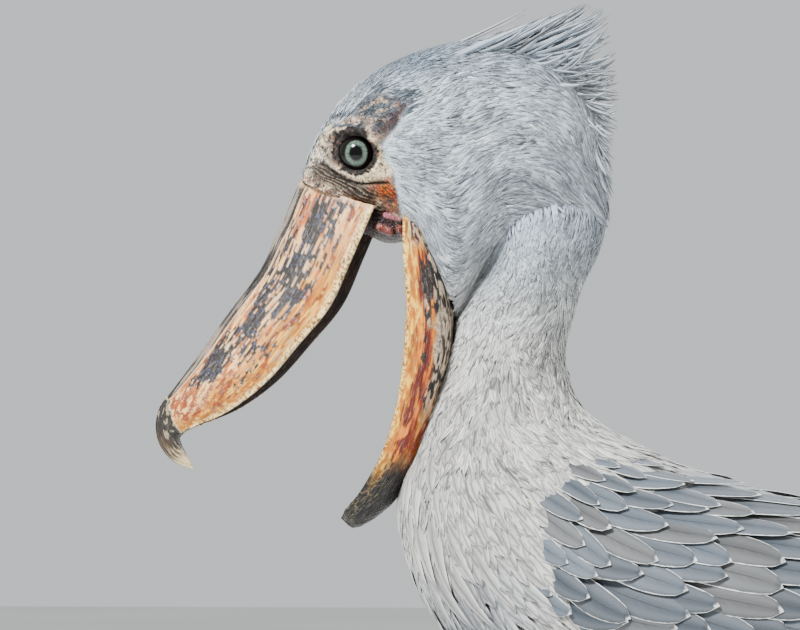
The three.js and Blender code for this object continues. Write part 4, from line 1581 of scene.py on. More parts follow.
@dataclass(frozen=True)
class HeadCoat:
    """The short hair-like feathers of the head."""

    count: int = 40000

    def build(self, material: Material) -> None:
        """Strews bristles over the head, but for the bare face and what lies in the neck.

        They are shortest on the forehead and grow towards the nape; a cloud of lumps turns
        their lie and parts them into locks.

        Args:
            material: Its finish.
        """
        rng = np.random.default_rng(11)
        s, angle = HEAD.scatter(self.count, rng, lambda s, a: mix(1.5, 1.0, ramp(0.0, 0.4, s)))
        points = HEAD.point(s, angle)
        keep = ~TRUNK.holds(points, 3.0)
        bare = FACE.bare(points)
        above = ramp(16.0, 26.0, points[:, 2] - EYE_AT[2])
        keep &= rng.random(len(s)) > bare * mix(1.0, 0.72, above)
        keep &= (bare < 0.35) | (above > 0.5)
        s, angle, points = s[keep], angle[keep], points[keep]
        count = len(s)
        growth = ramp(0.05, 0.95, s)
        hood = np.where(TRUNK.holds(points, 14.0), 1.0, 0.0)
        lock = LUMPS.at(points, 9.0, 2) - 0.5
        # Random tone by locks, partly painted light and shade: the locks that stand higher are painted
        # lighter and the parts between them darker.
        shade = MARKINGS.plumage(points) * (1.0 + 1.4 * lock + rng.normal(0, 0.24, count))[:, None]
        naked = (FACE.bare(points) > 0.25)[:, None]
        shade = np.where(naked, srgb("55646f") * rng.uniform(0.4, 1.3, (count, 1)), shade)
        forehead = ramp(0.32, 0.1, s) * ramp(900, 915, points[:, 2])
        dark = rng.random(count) < mix(0.16, 0.42, forehead)
        shade[dark] *= np.array([0.3, 0.34, 0.38])
        coat = Coat("head_coat")
        coat.lay(
            HEAD, s, angle, cut=Plume.BRISTLE,
            length=(mix(6.0, 21.0, growth) + 12.0 * ramp(0.78, 0.98, s) + 9.0 * hood)
            * rng.uniform(0.75, 1.3, count),
            width=mix(1.1, 2.1, growth) * rng.uniform(0.7, 1.3, count) * np.where(dark, 0.6, 1.0),
            lift=(mix(0.6, 2.0, growth) * rng.uniform(0.5, 1.5, count) + 2.2 * lock + 3.5 * hood).clip(0.3),
            turn=rng.normal(0.0, 0.15, count) + 1.6 * (LUMPS.at(points + 60.0, 22.0, 2) - 0.5),
            colour=shade, sunk=1.2,
        )
        coat.make(material)


@dataclass(frozen=True)
class NeckCoat:
    """The soft feathers of the neck and the upper breast."""

    count: int = 19000
    # Painted shade, a little bluish, on the top of the neck where it meets the head.
    neck_top_shade: tuple[float, float, float] = (0.72, 0.78, 0.85)

    def build(self, material: Material) -> None:
        """Strews soft feathers down the neck, but for what lies inside the head.

        Args:
            material: Its finish.
        """
        rng = np.random.default_rng(12)
        s, angle = TRUNK.scatter(
            self.count, rng, lambda s, a: (s < NECK_ENDS + 0.12) * mix(1.0, 0.5, ramp(0.2, 0.48, s))
        )
        points = TRUNK.point(s, angle)
        keep = ~HEAD.holds(points, 4.0) & ~MANTLE.holds(points, 6.0)
        keep &= ~HEAD.holds(points, -8.0) | (rng.random(len(s)) < 0.4)
        s, angle, points = s[keep], angle[keep], points[keep]
        count = len(s)
        growth = ramp(0.05, 0.45, s)
        shade = MARKINGS.plumage(points) * rng.normal(1.0, 0.2, (count, 1)).clip(0.45, 1.4)
        shade[rng.random(count) < 0.14] *= 0.5
        # Painted shade darkens the top of the neck; below it the feathers are 0.94 of their colour.
        shade *= mix(np.array(self.neck_top_shade), 0.94, ramp(0.02, 0.2, s)[:, None])
        coat = Coat("neck_coat")
        nape = ramp(1.0, 0.3, np.abs((angle + np.pi) % (2 * np.pi) - np.pi))
        lock = LUMPS.at(points, 14.0, 2) - 0.5
        # Random tone by locks, partly painted light and shade: the locks that stand higher are painted
        # lighter and the parts between them darker.
        shade *= (1.0 + 0.9 * lock)[:, None]
        coat.lay(
            TRUNK, s, angle, cut=Plume.SOFT,
            length=(mix(12.0, 24.0, growth) + 5.0 * nape) * rng.uniform(0.8, 1.25, count),
            width=mix(1.7, 4.4, growth) * rng.uniform(0.7, 1.3, count),
            lift=(mix(1.0, 3.2, growth) * rng.uniform(0.5, 1.5, count) + 2.0 * nape + 3.0 * lock).clip(0.4),
            turn=rng.normal(0.0, 0.25, count) + 2.0 * (LUMPS.at(points + 60.0, 30.0, 2) - 0.5),
            colour=shade, sunk=2.0,
        )
        coat.make(material)


@dataclass(frozen=True)
class BodyCoat:
    """The feathers of breast, flanks, belly and back."""

    count: int = 9000

    def build(self, material: Material) -> None:
        """Strews long feathers over the trunk where no wing covers it.

        Args:
            material: Its finish.
        """
        rng = np.random.default_rng(13)
        s, angle = TRUNK.scatter(self.count, rng, lambda s, a: s > NECK_ENDS + 0.03)
        points = TRUNK.point(s, angle)
        keep = ~(MANTLE.holds(points, 8.0) & (np.abs(np.sin(angle)) > 0.3) & (points[:, 0] > -110))
        for side in Side:
            centre = thigh_form(side).knots[0]
            keep &= np.linalg.norm(points - centre[:3], axis=1) > 36
        s, angle, points = s[keep], angle[keep], points[keep]
        count = len(s)
        shade = MARKINGS.plumage(points) * rng.normal(1.0, 0.12, (count, 1)).clip(0.6, 1.4)
        coat = Coat("body_coat")
        coat.lay(
            TRUNK, s, angle, cut=Plume.SOFT,
            length=rng.uniform(20.0, 32.0, count), width=rng.uniform(6.0, 10.0, count),
            lift=rng.uniform(1.5, 4.5, count),
            turn=rng.normal(0.0, 0.15, count), colour=shade, sunk=2.0,
        )
        coat.make(material)


@dataclass(frozen=True)
class ThighCoat:
    """The soft feathers of the thighs, to just above the bare shins."""

    count: int = 2600

    def build(self, material: Material) -> None:
        """Strews soft feathers down each thigh, but for what lies inside the belly.

        Args:
            material: Its finish.
        """
        rng = np.random.default_rng(14)
        for side in Side:
            form = thigh_form(side)
            s, angle = form.scatter(self.count, rng, lambda s, a: np.ones_like(s))
            points = form.point(s, angle)
            keep = ~TRUNK.holds(points, 5.0)
            s, angle, points = s[keep], angle[keep], points[keep]
            count = len(s)
            shade = MARKINGS.plumage(points) * rng.normal(1.0, 0.12, (count, 1)).clip(0.6, 1.4)
            coat = Coat(f"thigh_coat_{side.label}")
            coat.lay(
                form, s, angle, cut=Plume.SOFT,
                length=rng.uniform(16.0, 26.0, count), width=rng.uniform(4.0, 7.0, count),
                lift=rng.uniform(1.0, 3.5, count),
                turn=rng.normal(0.0, 0.15, count), colour=shade, sunk=1.5,
            )
            coat.make(material)


@dataclass(frozen=True)
class Crest:
    """The tuft at the back of the crown, plume by plume."""

    count: int = 420
    wisp: tuple[float, float, float] = (0.55, 0.57, 0.58)
    roots: tuple[float, float] = (0.5, 0.93)
    tips: tuple[tuple[float, float], ...] = (
        (-112, 975), (-104, 981), (-84, 990), (-66, 989), (-60, 970), (-56, 946), (-55, 920), (-58, 896),
        (-59, 874), (-60, 852),
    )

    def build(self, material: Material) -> None:
        """Lays plumes from the crown's back to the fan of tips.

        A plume's line is mix(root, tip, t) + up * 4 * bow * t * (1 - t); its tip is drawn
        back towards the root by a random share.

        Args:
            material: Its finish.
        """
        rng = np.random.default_rng(15)
        fan = np.sort(rng.random(self.count))
        side = rng.normal(0, 0.55, self.count).clip(-1.3, 1.3)
        turn = np.radians(24.0) * side
        share = mix(*self.roots, fan) + rng.normal(0, 0.025, self.count)
        share[:4] = 0.47
        root = HEAD.point(share, turn, -4.0)
        marks = np.array([[x, 0.0, z] for x, z in self.tips])
        tip = through(marks, np.clip(fan + rng.normal(0, 0.03, self.count), 0, 1))
        tip[:, 1] = 1.5 * root[:, 1]
        tip = mix(tip, root, (0.62 * rng.random(self.count) ** 1.6)[:, None])
        tip[:4] = [[-118, -2, 989], [-121, 2, 984], [-115, 0, 981], [-124, 1, 977]]
        t = np.append(np.array(Plume.LONG.value[0]), 1.0)
        run = tip - root
        flat = unit(np.cross(run, np.array([0.0, 1.0, 0.0])))
        roll = np.radians(rng.uniform(30, 80, self.count)) * np.sign(side)
        cross = unit(np.cross(unit(run), flat))
        out = -flat * np.cos(roll)[:, None] + cross * np.sin(roll)[:, None]
        bow = rng.normal(2.6, 1.6, self.count)
        arch = (4 * bow[:, None] * t * (1 - t))[..., None] * -flat[:, None]
        line = root[:, None] + run[:, None] * t[:, None] + arch
        shade = MARKINGS.plumage(line[:, 2, :]) * rng.normal(0.95, 0.22, (self.count, 1)).clip(0.35, 1.4)
        shade[(np.abs(fan - 0.27) < 0.035) & (rng.random(self.count) < 0.6)] *= 0.2
        shade[(np.abs(fan - 0.62) < 0.1) & (rng.random(self.count) < 0.5)] *= 0.45
        shade[:4] = self.wisp
        coat = Coat("crest")
        coat.add(
            line, np.repeat(out[:, None], len(t), axis=1), cut=Plume.LONG,
            width=rng.uniform(1.8, 4.6, self.count), colour=shade, root=(share, turn), soft=False,
        )
        coat.make(material)


@dataclass(frozen=True)
class BreastPlumes:
    """The long loose plumes of the lower breast, in rows down its middle."""

    rows: tuple[tuple[float, float, int, float], ...] = (
        (0.40, 0.085, 9, 44.0), (0.42, 0.085, 10, 44.0), (0.455, 0.09, 11, 50.0),
        (0.49, 0.09, 12, 54.0), (0.53, 0.09, 12, 56.0),
    )

    def build(self, material: Material) -> None:
        """Lays each row of plumes over the trunk, the lowest first.

        Args:
            material: Its finish.
        """
        rng = np.random.default_rng(16)
        coat = Coat("breast_plumes")
        for root, run, number, spread in self.rows:
            s = np.full(number, root) + rng.normal(0, 0.008, number)
            angle = np.pi + np.radians(np.linspace(-spread, spread, number) + rng.normal(0, 2.5, number))
            *_, per_s, _ = TRUNK.axes(s, angle)
            shade = MARKINGS.plumage(TRUNK.point(s, angle)) * rng.normal(1.0, 0.12, (number, 1))
            coat.lay(
                TRUNK, s, angle, cut=Plume.LONG, length=run * per_s * rng.uniform(0.9, 1.15, number),
                width=rng.uniform(12.0, 17.0, number), lift=rng.uniform(3.5, 6.0, number),
                turn=rng.normal(0.0, 0.12, number), colour=shade, sunk=3.0,
            )
        coat.make(material)


def wing_angle(s: Array, across: Array) -> Array:
    """The angle round the mantle, in radians, from the wing's upper to its lower edge."""
    return np.radians(mix(mix(14.0, 28.0, s), mix(128.0, 98.0, s), across))


@dataclass(frozen=True)
class VaneRow:
    """A tier of wing feathers: where they root, how far they run and how many there are."""

    root: float
    run: float
    count: int
    lift: float
    shade: float = 1.0


@dataclass(frozen=True)
class Wing:
    """A folded wing: coverts in tiers over the long flight feathers."""

    side: Side
    tiers: int = 13
    flights: int = 13
    thick: float = 0.9
    camber: float = 0.9
    colour: tuple[str, str] = ("262f38", "4c5761")

    def build(self, material: Material) -> None:
        """Makes the wing's core and its feathers and has them stand for the wing's node.

        Args:
            material: Its finish.
        """
        rng = np.random.default_rng(21 + self.side.value)
        node = f"wing_{self.side.label}"
        vanes = Vanes(f"{node}_vanes")
        for out in np.linspace(1, 0, self.flights):
            start, reach = 0.54 - 0.05 * out, mix(0.86, 1.0, out**0.7)
            self.feather(
                vanes, rng, (start, reach), (0.12 + 0.76 * out, 0.1 + 0.62 * out),
                (-2.0 - 2.0 * out, mix(7.0, -8.0, out)), 34.0 - 6.0 * out, 0.8,
            )
        for number, row in enumerate(self.rows()):
            for i in range(row.count):
                across = (i + (0.3 if number % 2 else 0.65)) / row.count + rng.normal(0, 0.011)
                s = max(row.root + rng.normal(0, 0.007), 0.005)
                *_, per_a = MANTLE.axes(np.array(s), np.array(1.2))
                girth = (wing_angle(s, 1.0) - wing_angle(s, 0.0)) * per_a / row.count
                self.feather(
                    vanes, rng, (s, s + row.run * rng.uniform(0.95, 1.05)), (across, across),
                    (-4.0, row.lift), girth * rng.uniform(1.1, 1.35), row.shade,
                )
        vanes.make(material, node)
        self.core(material)

    def rows(self) -> list[VaneRow]:
        """The tiers of coverts from the rearmost to the shoulder, smaller and looser forwards.

        Returns:
            The tiers, one row each.
        """
        share = np.linspace(0.0, 1.0, self.tiers)
        return [
            VaneRow(mix(0.50, 0.008, k), mix(0.17, 0.105, k), round(mix(8, 9, k)), mix(5.0, 6.8, k),
                    mix(0.9, 1.2, k))
            for k in share
        ]

    def feather(
        self,
        vanes: Vanes,
        rng: np.random.Generator,
        span: tuple[float, float],
        across: tuple[float, float],
        lift: tuple[float, float],
        width: float,
        shade: float,
    ) -> None:
        """Adds one feather that lies along the mantle.

        Its middle runs from span[0] to span[1] along the mantle and from across[0] to
        across[1] over the wing; its lift follows a quarter sine from lift[0] to lift[1], less
        a camber of the distance across squared.

        Args:
            vanes: The set it joins.
            rng: Draws its tilt, turn and colour.
            span: Shares along the mantle.
            across: Shares over the wing.
            lift: Millimetres off the mantle.
            width: Its width in millimetres.
            shade: What its colour is multiplied by.
        """
        side = -self.side.value
        tilt = rng.normal(0.9, 0.5)
        skew = rng.normal(0.0, 0.05)

        def line(t: Array, c: Array) -> tuple[Array, Array]:
            """Points and outward directions at shares t along and c across.

            Args:
                t: Shares from root to tip.
                c: Shares of half a width, from -1 to 1.

            Returns:
                Points and directions.
            """
            s = np.clip(mix(*span, t), *ENDS)
            angle = wing_angle(s, mix(*across, t)) + skew * t * t
            *_, per_a = MANTLE.axes(s, angle)
            angle = angle + c * width / 2 / np.maximum(per_a, 20.0)
            rise = np.sin(t * np.pi / 2)
            height = mix(*lift, rise) - self.camber * c * c + tilt * c
            points = MANTLE.point(s, side * angle, height)
            _, _, out, *_ = MANTLE.axes(s, side * angle)
            return points, out

        tint = mix(srgb(self.colour[0]), srgb(self.colour[1]), rng.random()) * shade
        tint = mix(tint, srgb("4a4743"), 0.7 * (rng.random() < 0.2))
        vanes.lay(line, tip=0.5, thick=self.thick, colour=tint * rng.normal(1.0, 0.08))

    def core(self, material: Material) -> None:
        """A closed leaf under the feathers: the mantle's outside, 3 to 9 mm down.

        Args:
            material: Its finish.
        """
        s, across = np.meshgrid(np.linspace(0.005, 0.9, 50), np.linspace(0.02, 0.98, 24), indexing="ij")
        angle = -self.side.value * wing_angle(s, across)
        upper = MANTLE.point(s, angle, -3.0)
        lower = MANTLE.point(s, angle, -9.0)
        ring = np.concatenate([upper, lower[:, ::-1]], axis=1)
        node = f"wing_{self.side.label}"
        plain_vane(f"{node}_core", closed_tube(ring), material, self.colour[0], node)


def plain_vane(
    name: str, surface: tuple[Array, Array], material: Material, colour: str, node: str
) -> None:
    """Makes a closed form of one colour under the large feathers.

    Args:
        name: The piece's name.
        surface: Its vertices and faces.
        material: The finish of the large feathers.
        colour: Its hex colour.
        node: The solid it stands for.
    """
    count = len(surface[0])
    maps = {"Vane": np.tile([0.3, 0.5], (count, 1))}
    tint = np.tile(srgb(colour), (count, 1))
    settle(new_mesh(name, *surface, material=material, maps=maps, tint=tint), "wing_feathers", node)


def vane_outline(t: Array, tip: float) -> Array:
    """A feather's share of full width: quick to widen, round at the end.

    It is (0.55 + 0.45 * rise) * sqrt(1 - u^2), where u goes from 0 at tip to 1 at the end;
    the square root is never under 0.03.

    Args:
        t: Shares along the feather.
        tip: Where its end begins to round.

    Returns:
        Shares of its full width.
    """
    rise = ramp(0.0, 0.3, t)
    u = np.clip((t - tip) / (1 - tip), 0, 1)
    return (0.55 + 0.45 * rise) * np.sqrt(np.maximum(1 - u**2, 0.0009))


@dataclass(frozen=True)
class Tail:
    """The short square tail: feathers fanned a little, over a feathered rump."""

    count: int = 12
    colour: str = "343d46"

    def build(self, material: Material) -> None:
        """Makes the tail's feathers and its root, which stand for the tail's node.

        Args:
            material: Its finish.
        """
        rng = np.random.default_rng(31)
        vanes = Vanes("tail_vanes")
        for i in range(self.count):
            across = 2 * i / (self.count - 1) - 1
            rank = 1 - abs(across)
            root = np.array([282.0, 20.0 * across, 522.0 + 4.0 * rank])
            turn = np.radians(15.0 * across)
            run = unit(np.array([np.cos(turn), np.sin(turn), -0.22]))
            length = 205.0 - 12.0 * abs(across)

            def line(t: Array, c: Array) -> tuple[Array, Array]:
                """Points and outward directions at shares t along and c across.

                Args:
                    t: Shares from root to tip.
                    c: Shares of half a width, from -1 to 1.

                Returns:
                    Points and directions.
                """
                flat = np.array([-run[1], run[0], 0.0])
                up = np.cross(run, unit(flat))
                sag = -3.0 * c * c - 5.0 * t * t
                points = root + run * (length * t)[..., None] + unit(flat) * (c * 13.5)[..., None]
                points = points + up * sag[..., None]
                return points, np.broadcast_to(up, points.shape)

            vanes.lay(line, tip=0.8, thick=1.0, colour=srgb(self.colour) * rng.normal(1.0, 0.08))
        vanes.make(material, "tail")
        plain_vane("tail_root", RUMP.grid(20, 24), material, self.colour, "tail")


@dataclass(frozen=True)
class BillRib:
    """A cross-section of the bill: its two ends, half width and how hollow it is."""

    top: tuple[float, float]
    bottom: tuple[float, float]
    half: float
    hollow: float


class BillForm:
    """A half of the bill: a hollow trough swept along ribs.

    At share u the section runs from top to bottom; a point of its outline at (across, depth)
    is top + (bottom - top) * depth, with y = half * across. Inside the rim the depth is
    drawn back to the rim's by the rib's hollow.
    """

    FAN = (70, 16)  # the grid of the plane of symmetry
    MARKS = 400  # steps in which the way along is summed
    NEAR = 4.0  # millimetres from the grid that still count as in the plane

    def __init__(
        self,
        ribs: Sequence[BillRib],
        outer: Sequence[tuple[float, float]],
        inner: Sequence[tuple[float, float]],
    ) -> None:
        """Keeps the ribs and the outline's two stretches as knots.

        Args:
            ribs: The cross-sections, from the base to the tip.
            outer: Knots of (across, depth) from the ridge to the rim.
            inner: Knots of the same from the rim to the middle inside.
        """
        self.tops = np.array([[rib.top[0], rib.half, rib.top[1]] for rib in ribs], float)
        self.bottoms = np.array([[rib.bottom[0], rib.hollow, rib.bottom[1]] for rib in ribs], float)
        self.outer = np.array(outer, float)
        self.inner = np.array(inner, float)

    def point(self, u: Array, v: Array, side: Array) -> Array:
        """Points of the trough.

        Args:
            u: Shares along, from the base to the tip.
            v: Places round: 0 at the ridge, 1 at the rim and 2 in the middle inside.
            side: -1 for the left half, 1 for the right.

        Returns:
            Points in the bird's frame.
        """
        u, v, side = np.broadcast_arrays(u, v, side)
        top, bottom = through(self.tops, u), through(self.bottoms, u)
        half, hollow = top[..., 1].copy(), np.maximum(bottom[..., 1].copy(), 0.05)
        top[..., 1] = 0.0
        bottom[..., 1] = 0.0
        outer = through(self.outer, np.clip(v, 0, 1))
        inner = through(self.inner, np.clip(v - 1, 0, 1))
        rim = self.outer[-1, 1]
        deep = rim + (inner[..., 1] - rim) * hollow
        inside = v > 1
        across = np.where(inside, inner[..., 0], outer[..., 0])
        depth = np.where(inside, deep, outer[..., 1])
        points = top + (bottom - top) * depth[..., None]
        points[..., 1] = side * half * across
        return points

    def travelled(self, u: Array) -> Array:
        """Millimetres from the base to share u, along the middle of the ribs' ends.

        Args:
            u: Shares along.

        Returns:
            Millimetres.
        """
        marks = np.linspace(0, 1, self.MARKS)
        line = (through(self.tops, marks) + through(self.bottoms, marks))[:, [0, 2]] / 2
        steps = np.linalg.norm(np.diff(line, axis=0), axis=1)
        return np.interp(u, marks, np.concatenate([[0.0], np.cumsum(steps)]))

    def down(self, u: Array, v: Array) -> Array:
        """Millimetres from the top line to a place of the section, in the plane of symmetry."""
        top, bottom = through(self.tops, u), through(self.bottoms, u)
        return np.linalg.norm((bottom - top)[..., [0, 2]], axis=-1) * self.depth(v)

    def holds(self, points: Array, margin: float) -> Array:
        """Whether points lie in the filled trough, or nearer to its back than margin."""
        return self.sunk(points.reshape(-1, 3), margin)[0].reshape(points.shape[:-1])

    def sunk(self, points: Array, margin: float) -> tuple[Array, Array]:
        """Which points lie in the filled trough, and the moves that take them out behind it.

        The plane of symmetry is looked up on a fan of u and depth d from 0 to a margin past
        the bottom line. A point is in where |y| is under the outline's half width at d, plus
        the margin; its move is the rest of the depth, straight from the top line.

        Args:
            points: Rows of points.
            margin: Millimetres past the form.

        Returns:
            A truth value and a move for each point.
        """
        u, d = np.meshgrid(*(np.linspace(0, 1, number) for number in self.FAN), indexing="ij")
        top, bottom = through(self.tops, u), through(self.bottoms, u)
        half = top[..., 1]
        top, run = top[..., [0, 2]], (bottom - top)[..., [0, 2]]
        reach = np.linalg.norm(run, axis=-1, keepdims=True)
        d = d[..., None] * (1 + (margin + 1.0) / reach)
        fan = (top + run * d).reshape(-1, 2)
        rest = (run * (1 + (margin + 2.0) / reach - d)).reshape(-1, 2)
        order = np.argsort(self.outer[:, 1])
        wide = (half * np.interp(d[..., 0], self.outer[order, 1], self.outer[order, 0])).ravel() + margin
        inside, move = np.zeros(len(points), bool), np.zeros((len(points), 3))
        low, high = fan.min(0) - 5, fan.max(0) + 5
        near = (points[:, [0, 2]] > low).all(1) & (points[:, [0, 2]] < high).all(1)
        near = np.flatnonzero(near & (np.abs(points[:, 1]) < wide.max()))
        for part in np.array_split(near, max(1, len(near) // CHUNK)):
            gap = np.linalg.norm(points[part][:, None, [0, 2]] - fan[None], axis=-1)
            best = gap.argmin(axis=1)
            close = gap[np.arange(len(part)), best] < self.NEAR
            inside[part] = close & (np.abs(points[part, 1]) < wide[best])
            move[part[:, None], [0, 2]] = rest[best]
        return inside, move * inside[:, None]

    def depth(self, v: Array) -> Array:
        """The share of the way from the top line to the bottom line at a place round."""
        return through(self.outer, np.clip(v, 0, 1))[..., 1]

    def grid(self, rings: int, sides: int, inside: int) -> tuple[Array, Array, Array]:
        """The closed trough as vertices, faces and (u, v) per vertex.

        Args:
            rings: Rings along it.
            sides: Points from ridge to rim.
            inside: Points from the rim to the middle inside.

        Returns:
            The three arrays.
        """
        v = np.concatenate([np.linspace(0, 1, sides), 1 + np.linspace(0, 1, inside)[1:]])
        ring_v = np.concatenate([v, v[-2:0:-1]])
        ring_side = np.concatenate([np.full(len(v), -1.0), np.full(len(v) - 2, 1.0)])
        u = np.linspace(0, 1, rings)
        grid_u, grid_v = np.meshgrid(u, ring_v, indexing="ij")
        points, faces = closed_tube(self.point(grid_u, grid_v, ring_side[None]))
        uv = np.stack([grid_u, grid_v], -1).reshape(-1, 2)
        uv = np.vstack([uv, [0.0, 1.5], [1.0, 0.5]])
        return points, faces, uv


UPPER_BILL = BillForm(
    [
        BillRib((-280, 866), (-224, 849), 46, 0.5),
        BillRib((-296, 830), (-240, 812), 49, 0.55),
        BillRib((-309, 803), (-255, 779), 51, 0.55),
        BillRib((-329, 776), (-277, 752), 51, 0.5),
        BillRib((-349, 748), (-301, 725), 46, 0.45),
        BillRib((-368, 723), (-328, 705), 35, 0.35),
        BillRib((-380, 707), (-356, 693), 20, 0.1),
        BillRib((-383, 693), (-366, 687), 10.5, 0),
        BillRib((-380, 680), (-365, 680), 8, 0),
        BillRib((-371, 669), (-361, 673), 4.5, 0),
        BillRib((-357, 663), (-356.5, 664), 1, 0),
    ],
    [(0, 0), (0.13, 0.01), (0.18, 0.07), (0.55, 0.15), (0.85, 0.4), (1, 0.72), (0.97, 1)],
    [(0.97, 1), (0.87, 1), (0.82, 0.72), (0.55, 0.4), (0, 0.25)],
)
LOWER_BILL = BillForm(
    [
        BillRib((-204, 843), (-188, 829), 43, 0.9),
        BillRib((-203, 812), (-178, 803), 45, 0.9),
        BillRib((-201, 780), (-171, 772), 46, 0.9),
        BillRib((-203, 745), (-173, 739), 45, 0.9),
        BillRib((-208, 712), (-183, 705), 41, 0.88),
        BillRib((-218, 679), (-196, 670), 35, 0.8),
        BillRib((-233, 652), (-214, 641), 27, 0.5),
        BillRib((-246, 636), (-234, 625), 17, 0.2),
        BillRib((-251, 629), (-243, 622), 7, 0.1),
    ],
    [(0, 1), (0.45, 0.98), (0.82, 0.84), (0.98, 0.5), (1, 0)],
    [(1, 0), (0.88, 0), (0.85, 0.5), (0.6, 0.8), (0, 0.86)],
)


def ranks(values: Array) -> Array:
    """Each value's place among all of them, from 0 to 1.

    Args:
        values: A row of numbers.

    Returns:
        Their ranks.
    """
    order = np.empty(len(values))
    order[np.argsort(values)] = np.arange(len(values)) / len(values)
    return order


def patches(rank: Array, share: Array, edge: float = 0.03) -> Array:
    """Soft-edged patches that cover a share of the surface."""
    return ramp(-edge, edge, share - rank)


def bump(value: Array, middle: float, width: float) -> Array:
    """A bell of height 1 round a middle."""
    return hump(value - middle, width)


class BillHalf(ABC):
    """A half of the bill: its form, worn by a relief, and its paint.

    A place is known by far, the share along; round_, the place round; deep, the share from
    the top line down; and flow, the millimetres along, across and down, past start. size is
    the grid's rings, sides and inside, and stretch the millimetres of one unit of Horn.
    """

    form: BillForm
    node: str
    size: tuple[int, int, int]
    start = 0.0
    stretch = 250.0

    def build(self, material: Material) -> None:
        """Makes the worn surface and paints it.

        Args:
            material: Its horn.
        """
        points, faces, uv = self.form.grid(*self.size)
        far, round_ = uv.T
        along, deep = self.form.travelled(far), self.form.depth(round_)
        flow = np.stack([along, points[:, 1], self.form.down(far, round_)], -1) + self.start
        relief = self.relief(flow, far, round_, deep)
        points = points + smooth_normals(points, faces) * relief[:, None]
        tint = self.colour(flow, far, round_, deep)
        maps = {"Horn": np.stack([along / self.stretch, round_], -1)}
        piece = new_mesh(f"{self.node}_horn", points, faces, material=material, maps=maps, tint=tint)
        settle(piece, "horn", self.node)

    @abstractmethod
    def relief(self, flow: Array, far: Array, round_: Array, deep: Array) -> Array:
        """Height over the form in millimetres."""

    @abstractmethod
    def colour(self, flow: Array, far: Array, round_: Array, deep: Array) -> Array:
        """Linear colours."""


